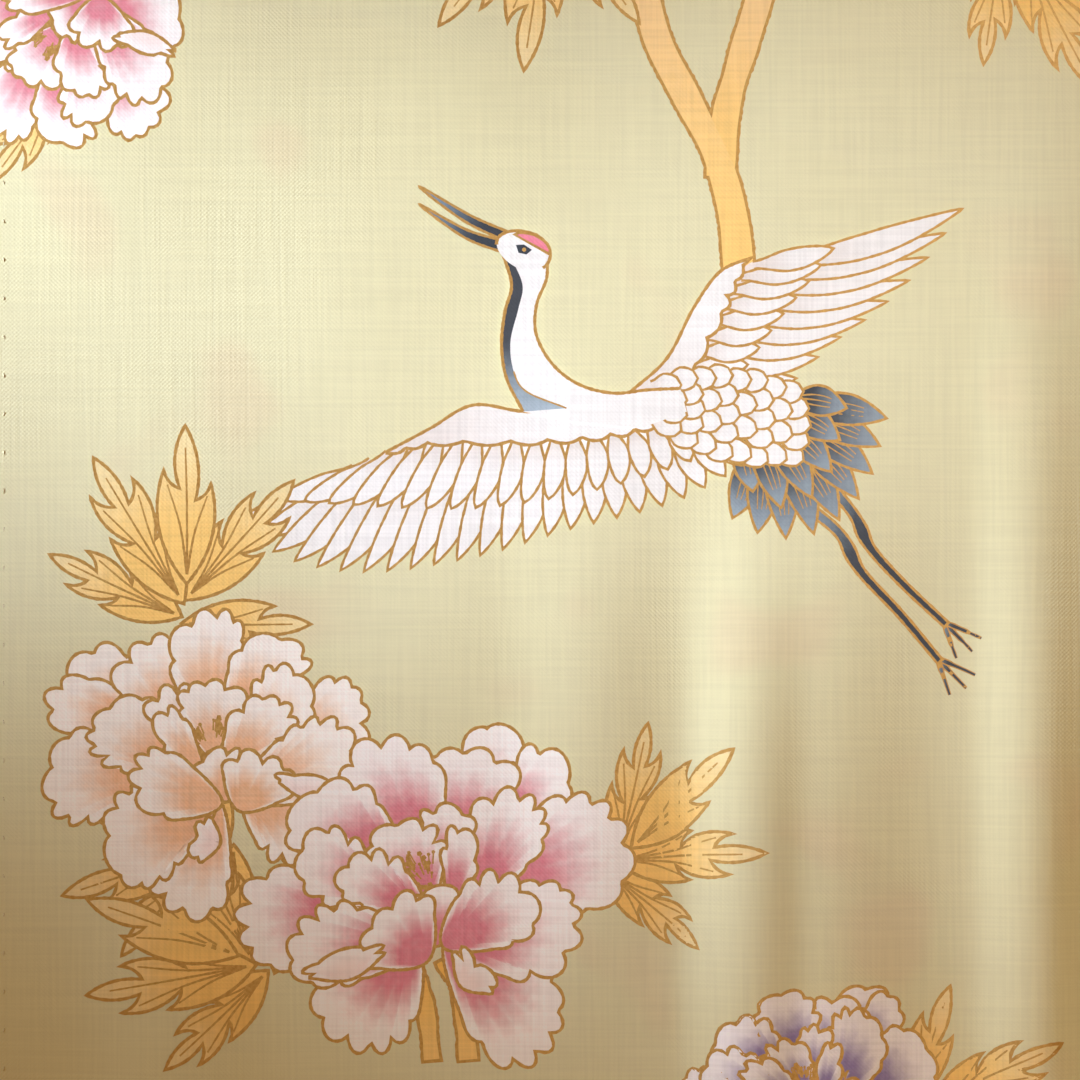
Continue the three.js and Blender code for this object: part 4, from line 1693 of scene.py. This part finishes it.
def light_floor(floor, colour, strength, softness, lean):
    """Even light for the floor alone, and no pool of the near window's light on it."""
    light = bpy.data.lights.new("floor light", "SUN")
    light.angle = math.radians(softness)
    light.energy = strength
    light.color = linear(colour)[:3]
    lamp = bpy.data.objects.new("floor light", light)
    lamp.rotation_euler = (math.radians(lean[0]), math.radians(lean[1]), 0)
    bpy.context.collection.objects.link(lamp)
    only_floor = bpy.data.collections.new("floor only")
    only_floor.objects.link(floor)
    lamp.light_linking.receiver_collection = only_floor
    not_floor = bpy.data.collections.new("not the floor")
    not_floor.objects.link(floor)
    not_floor.collection_objects[0].light_linking.link_state = "EXCLUDE"
    bpy.data.objects["near window"].light_linking.receiver_collection = not_floor


def make_camera(height):
    """The camera straight above the sleeve, its upper edge towards the collar."""
    camera = bpy.data.cameras.new("camera")
    camera.sensor_width = SENSOR
    camera.lens = SENSOR * height / VIEW_WIDTH
    camera.clip_end = CAMERA_REACH
    holder = bpy.data.objects.new("camera", camera)
    x, y = VIEW_CENTRE
    holder.location = (x * MM, (y + ORIGIN_DROP) * MM, (height + CLOTH_TOP) * MM)
    bpy.context.collection.objects.link(holder)
    bpy.context.scene.camera = holder


def make_world(colour, strength):
    """Even warm light from all round."""
    world = bpy.data.worlds.new("soft light")
    world.use_nodes = True
    background = world.node_tree.nodes["Background"]
    background.inputs["Color"].default_value = colour
    background.inputs["Strength"].default_value = strength
    bpy.context.scene.world = world


# The add-on: settings, one operator for each group of pieces, and a panel


def shown(colour):
    """A colour setting as red, green, blue and alpha."""
    return list(colour) + [1.0]


def tint(name, description, hex_colour):
    """A colour setting with an sRGB default."""
    return FloatVectorProperty(
        name=name,
        description=description,
        subtype="COLOR",
        size=3,
        min=0.0,
        max=1.0,
        default=linear(hex_colour)[:3],
    )


class YukataCloth(bpy.types.PropertyGroup):
    """The cotton."""

    pale: tint("Ground", "Pale yellow of the dyed ground", "#e4e1bd")
    deep: tint("Ground, deep", "Deeper yellow of the uneven dye", "#e2dcae")
    showing: tint("Show-through", "Tone of the far layer's print seen through the cotton", "#e3bea0")


class YukataPrint(bpy.types.PropertyGroup):
    """The printed colours."""

    orange: tint("Orange", "Heart of the orange peonies", "#f5c294")
    rose: tint("Rose", "Heart of the rose peonies", "#e28492")
    violet: tint("Violet", "Heart of the violet peonies", "#8f7fb8")
    leaf: tint("Amber", "Foot of the leaves", "#fbd07a")
    slate: tint("Slate", "Foot of the crane's tail feathers", "#43474c")
    gold: tint("Gold", "Bright flakes of the gold lines", "#e3bb70")
    film: FloatProperty(
        name="Ink",
        description="Height of the first ink above the cloth in millimetres",
        default=0.3,
        min=0.05,
        max=0.5,
    )


class YukataSewing(bpy.types.PropertyGroup):
    """The hand sewing."""

    colour: tint("Thread", "Cotton sewing thread", "#e4dbb6")
    pitch: FloatProperty(
        name="Pitch", description="From stitch to stitch in millimetres", default=11.0, min=4.0, max=30.0
    )
    length: FloatProperty(
        name="Length", description="Length of a stitch in millimetres", default=1.6, min=0.8, max=4.0
    )
    seed: IntProperty(name="Seed", description="Seed of the stitches' unevenness", default=7)


class YukataStage(bpy.types.PropertyGroup):
    """Floor, light and camera."""

    floor: tint("Floor", "Pale card under the garment", "#f3f2ef")
    floor_grain: tint("Floor, grain", "Darker grain of the card", "#ecebe8")
    ambient: tint("Room light", "Warm light from all round", "#ffc783")
    strength: FloatProperty(
        name="Room light strength", description="Strength of the room light", default=0.325, min=0.0
    )
    height: FloatProperty(
        name="Camera height", description="Millimetres above the floor", default=1200.0, min=400.0
    )


def sew_in(piece, node):
    """Puts a cloth piece in its node's place, and hides the node's solid."""
    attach(piece, "root")
    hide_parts(node)


def ground_cotton():
    """The one cotton that every panel is cut from."""
    made = bpy.data.materials.get("Plain-weave cotton, pale yellow")
    if made:
        return made
    cloth = bpy.context.scene.yukata_cloth
    return cotton(
        "Plain-weave cotton, pale yellow", shown(cloth.pale), shown(cloth.deep), shown(cloth.showing)
    )


class YUKATA_OT_bodies(bpy.types.Operator):
    """The two body panels, each from the back hem over the shoulder to the front hem"""

    bl_idname = "yukata.bodies"
    bl_label = "Body panels"

    def execute(self, context):
        for name, side in (("left", 1), ("right", -1)):
            piece = make_body("cloth_body_" + name, side, ground_cotton())
            sew_in(piece, "body_" + name)
        return {"FINISHED"}


class YUKATA_OT_sleeves(bpy.types.Operator):
    """The two sleeves, folded at the shoulder line"""

    bl_idname = "yukata.sleeves"
    bl_label = "Sleeves"

    def execute(self, context):
        for name, side, pitch in (("left", 1, (8, 16)), ("right", -1, (4, 10))):
            piece = make_sleeve("cloth_sleeve_" + name, side, ground_cotton(), *pitch)
            sew_in(piece, "sleeve_" + name)
        return {"FINISHED"}


class YUKATA_OT_overlaps(bpy.types.Operator):
    """The two front overlaps, pointed at the top"""

    bl_idname = "yukata.overlaps"
    bl_label = "Front overlaps"

    def execute(self, context):
        for name, side in (("left", 1), ("right", -1)):
            piece = make_overlap("cloth_overlap_" + name, side, ground_cotton())
            sew_in(piece, "overlap_" + name)
        return {"FINISHED"}


class YUKATA_OT_collar(bpy.types.Operator):
    """The collar band and the cover band sewn over its upper part"""

    bl_idname = "yukata.collar"
    bl_label = "Collar"

    def execute(self, context):
        band = make_collar("cloth_collar_band", ground_cotton(), 0, BAND, BAND_SHELL)
        sew_in(band, "collar_band")
        lift = BAND + GAP + CLOTH
        cover = make_collar("cloth_collar_cover", ground_cotton(), COVER_START, lift, COVER_SHELL)
        sew_in(cover, "collar_cover")
        return {"FINISHED"}


class YUKATA_OT_print(bpy.types.Operator):
    """The print: cranes, peonies, cut leaves and boughs with gold lines"""

    bl_idname = "yukata.print"
    bl_label = "Print"

    def execute(self, context):
        colours = context.scene.yukata_print
        inks = make_inks(colours)
        for name, panel in PANELS.items():
            fine = name == "sleeve_right"
            panel.setdefault("film", colours.film)
            panel.setdefault("cuts", COARSE_CUTS)
            print_panel(name, panel, fine, inks)
        return {"FINISHED"}


class YUKATA_OT_sewing(bpy.types.Operator):
    """Hand stitches along the hems, the front edges and the sleeve openings"""

    bl_idname = "yukata.sewing"
    bl_label = "Sewing"

    def execute(self, context):
        sewing = context.scene.yukata_sewing
        rng = random.Random(sewing.seed)
        yarn = thread("Cotton sewing thread", shown(sewing.colour))
        for name, side in (("left", 1), ("right", -1)):
            hem = -BODY_LENGTH + HEM_TURN
            cuff = side * (SHOULDER_HALF + SLEEVE_WIDTH - STITCH_INSET)
            inner = side * ((UNDER_FRONT_X if side < 0 else OVERLAP_SEAM_X) + EDGE_CLEAR)
            rows = [
                ([(inner, hem), (side * (HEM_HALF - EDGE_CLEAR), hem)], 0.0),
                ([(cuff, -12), (cuff, -SLEEVE_DROP + SLEEVE_CORNER)], math.pi / 2),
            ]
            if side > 0:
                edge = OVERLAP_EDGE_X + STITCH_INSET
                start = OVERLAP_EDGE_X + EDGE_CLEAR
                rows.append(([(start, hem), (OVERLAP_SEAM_X - EDGE_CLEAR, hem)], 0.0))
                rows.append(([(edge, -COLLAR_DROP - 6), (edge, hem)], math.pi / 2))
            places = []
            for path, turn in rows:
                places += stitch_row(path, turn, sewing.pitch, rng)
            make_stitches("stitches_" + name, front_of(side), places, sewing.length, yarn)
        return {"FINISHED"}


class YUKATA_OT_stage(bpy.types.Operator):
    """A pale floor, soft window light from the left, and the camera above the sleeve"""

    bl_idname = "yukata.stage"
    bl_label = "Floor, light and camera"

    def execute(self, context):
        stage = context.scene.yukata_stage
        context.scene.view_settings.view_transform = "Standard"
        make_camera(stage.height)
        floor = make_floor(shown(stage.floor), shown(stage.floor_grain))
        make_world(shown(stage.ambient), stage.strength)
        for light in LIGHTS:
            add_area_light(*light)
        light_floor(floor, *FLOOR_LIGHT)
        return {"FINISHED"}


STEPS = ("stage", "bodies", "sleeves", "overlaps", "collar", "print", "sewing")


class YUKATA_PT_panel(bpy.types.Panel):
    """Lists the steps and their settings"""

    bl_idname = "YUKATA_PT_panel"
    bl_label = "Yukata"
    bl_space_type = "VIEW_3D"
    bl_region_type = "UI"
    bl_category = "Yukata"

    def draw(self, context):
        for step in STEPS:
            self.layout.operator("yukata." + step)
        for group in SETTINGS:
            settings = getattr(context.scene, group)
            box = self.layout.box()
            for key in settings.bl_rna.properties.keys():
                if key not in ("rna_type", "name"):
                    box.prop(settings, key)


SETTINGS = {
    "yukata_cloth": YukataCloth,
    "yukata_print": YukataPrint,
    "yukata_sewing": YukataSewing,
    "yukata_stage": YukataStage,
}
CLASSES = tuple(SETTINGS.values()) + (
    YUKATA_OT_bodies,
    YUKATA_OT_sleeves,
    YUKATA_OT_overlaps,
    YUKATA_OT_collar,
    YUKATA_OT_print,
    YUKATA_OT_sewing,
    YUKATA_OT_stage,
    YUKATA_PT_panel,
)


def register():
    """Registers the classes and puts their settings on the scene."""
    for cls in CLASSES:
        bpy.utils.register_class(cls)
    for name, cls in SETTINGS.items():
        setattr(bpy.types.Scene, name, PointerProperty(type=cls))


def unregister():
    """Takes the settings and the classes away again."""
    for name in SETTINGS:
        delattr(bpy.types.Scene, name)
    for cls in reversed(CLASSES):
        bpy.utils.unregister_class(cls)


def main():
    """Builds the whole scene, a step at a time."""
    register()
    for step in STEPS:
        getattr(bpy.ops.yukata, step)()


if __name__ == "__main__":
    main()
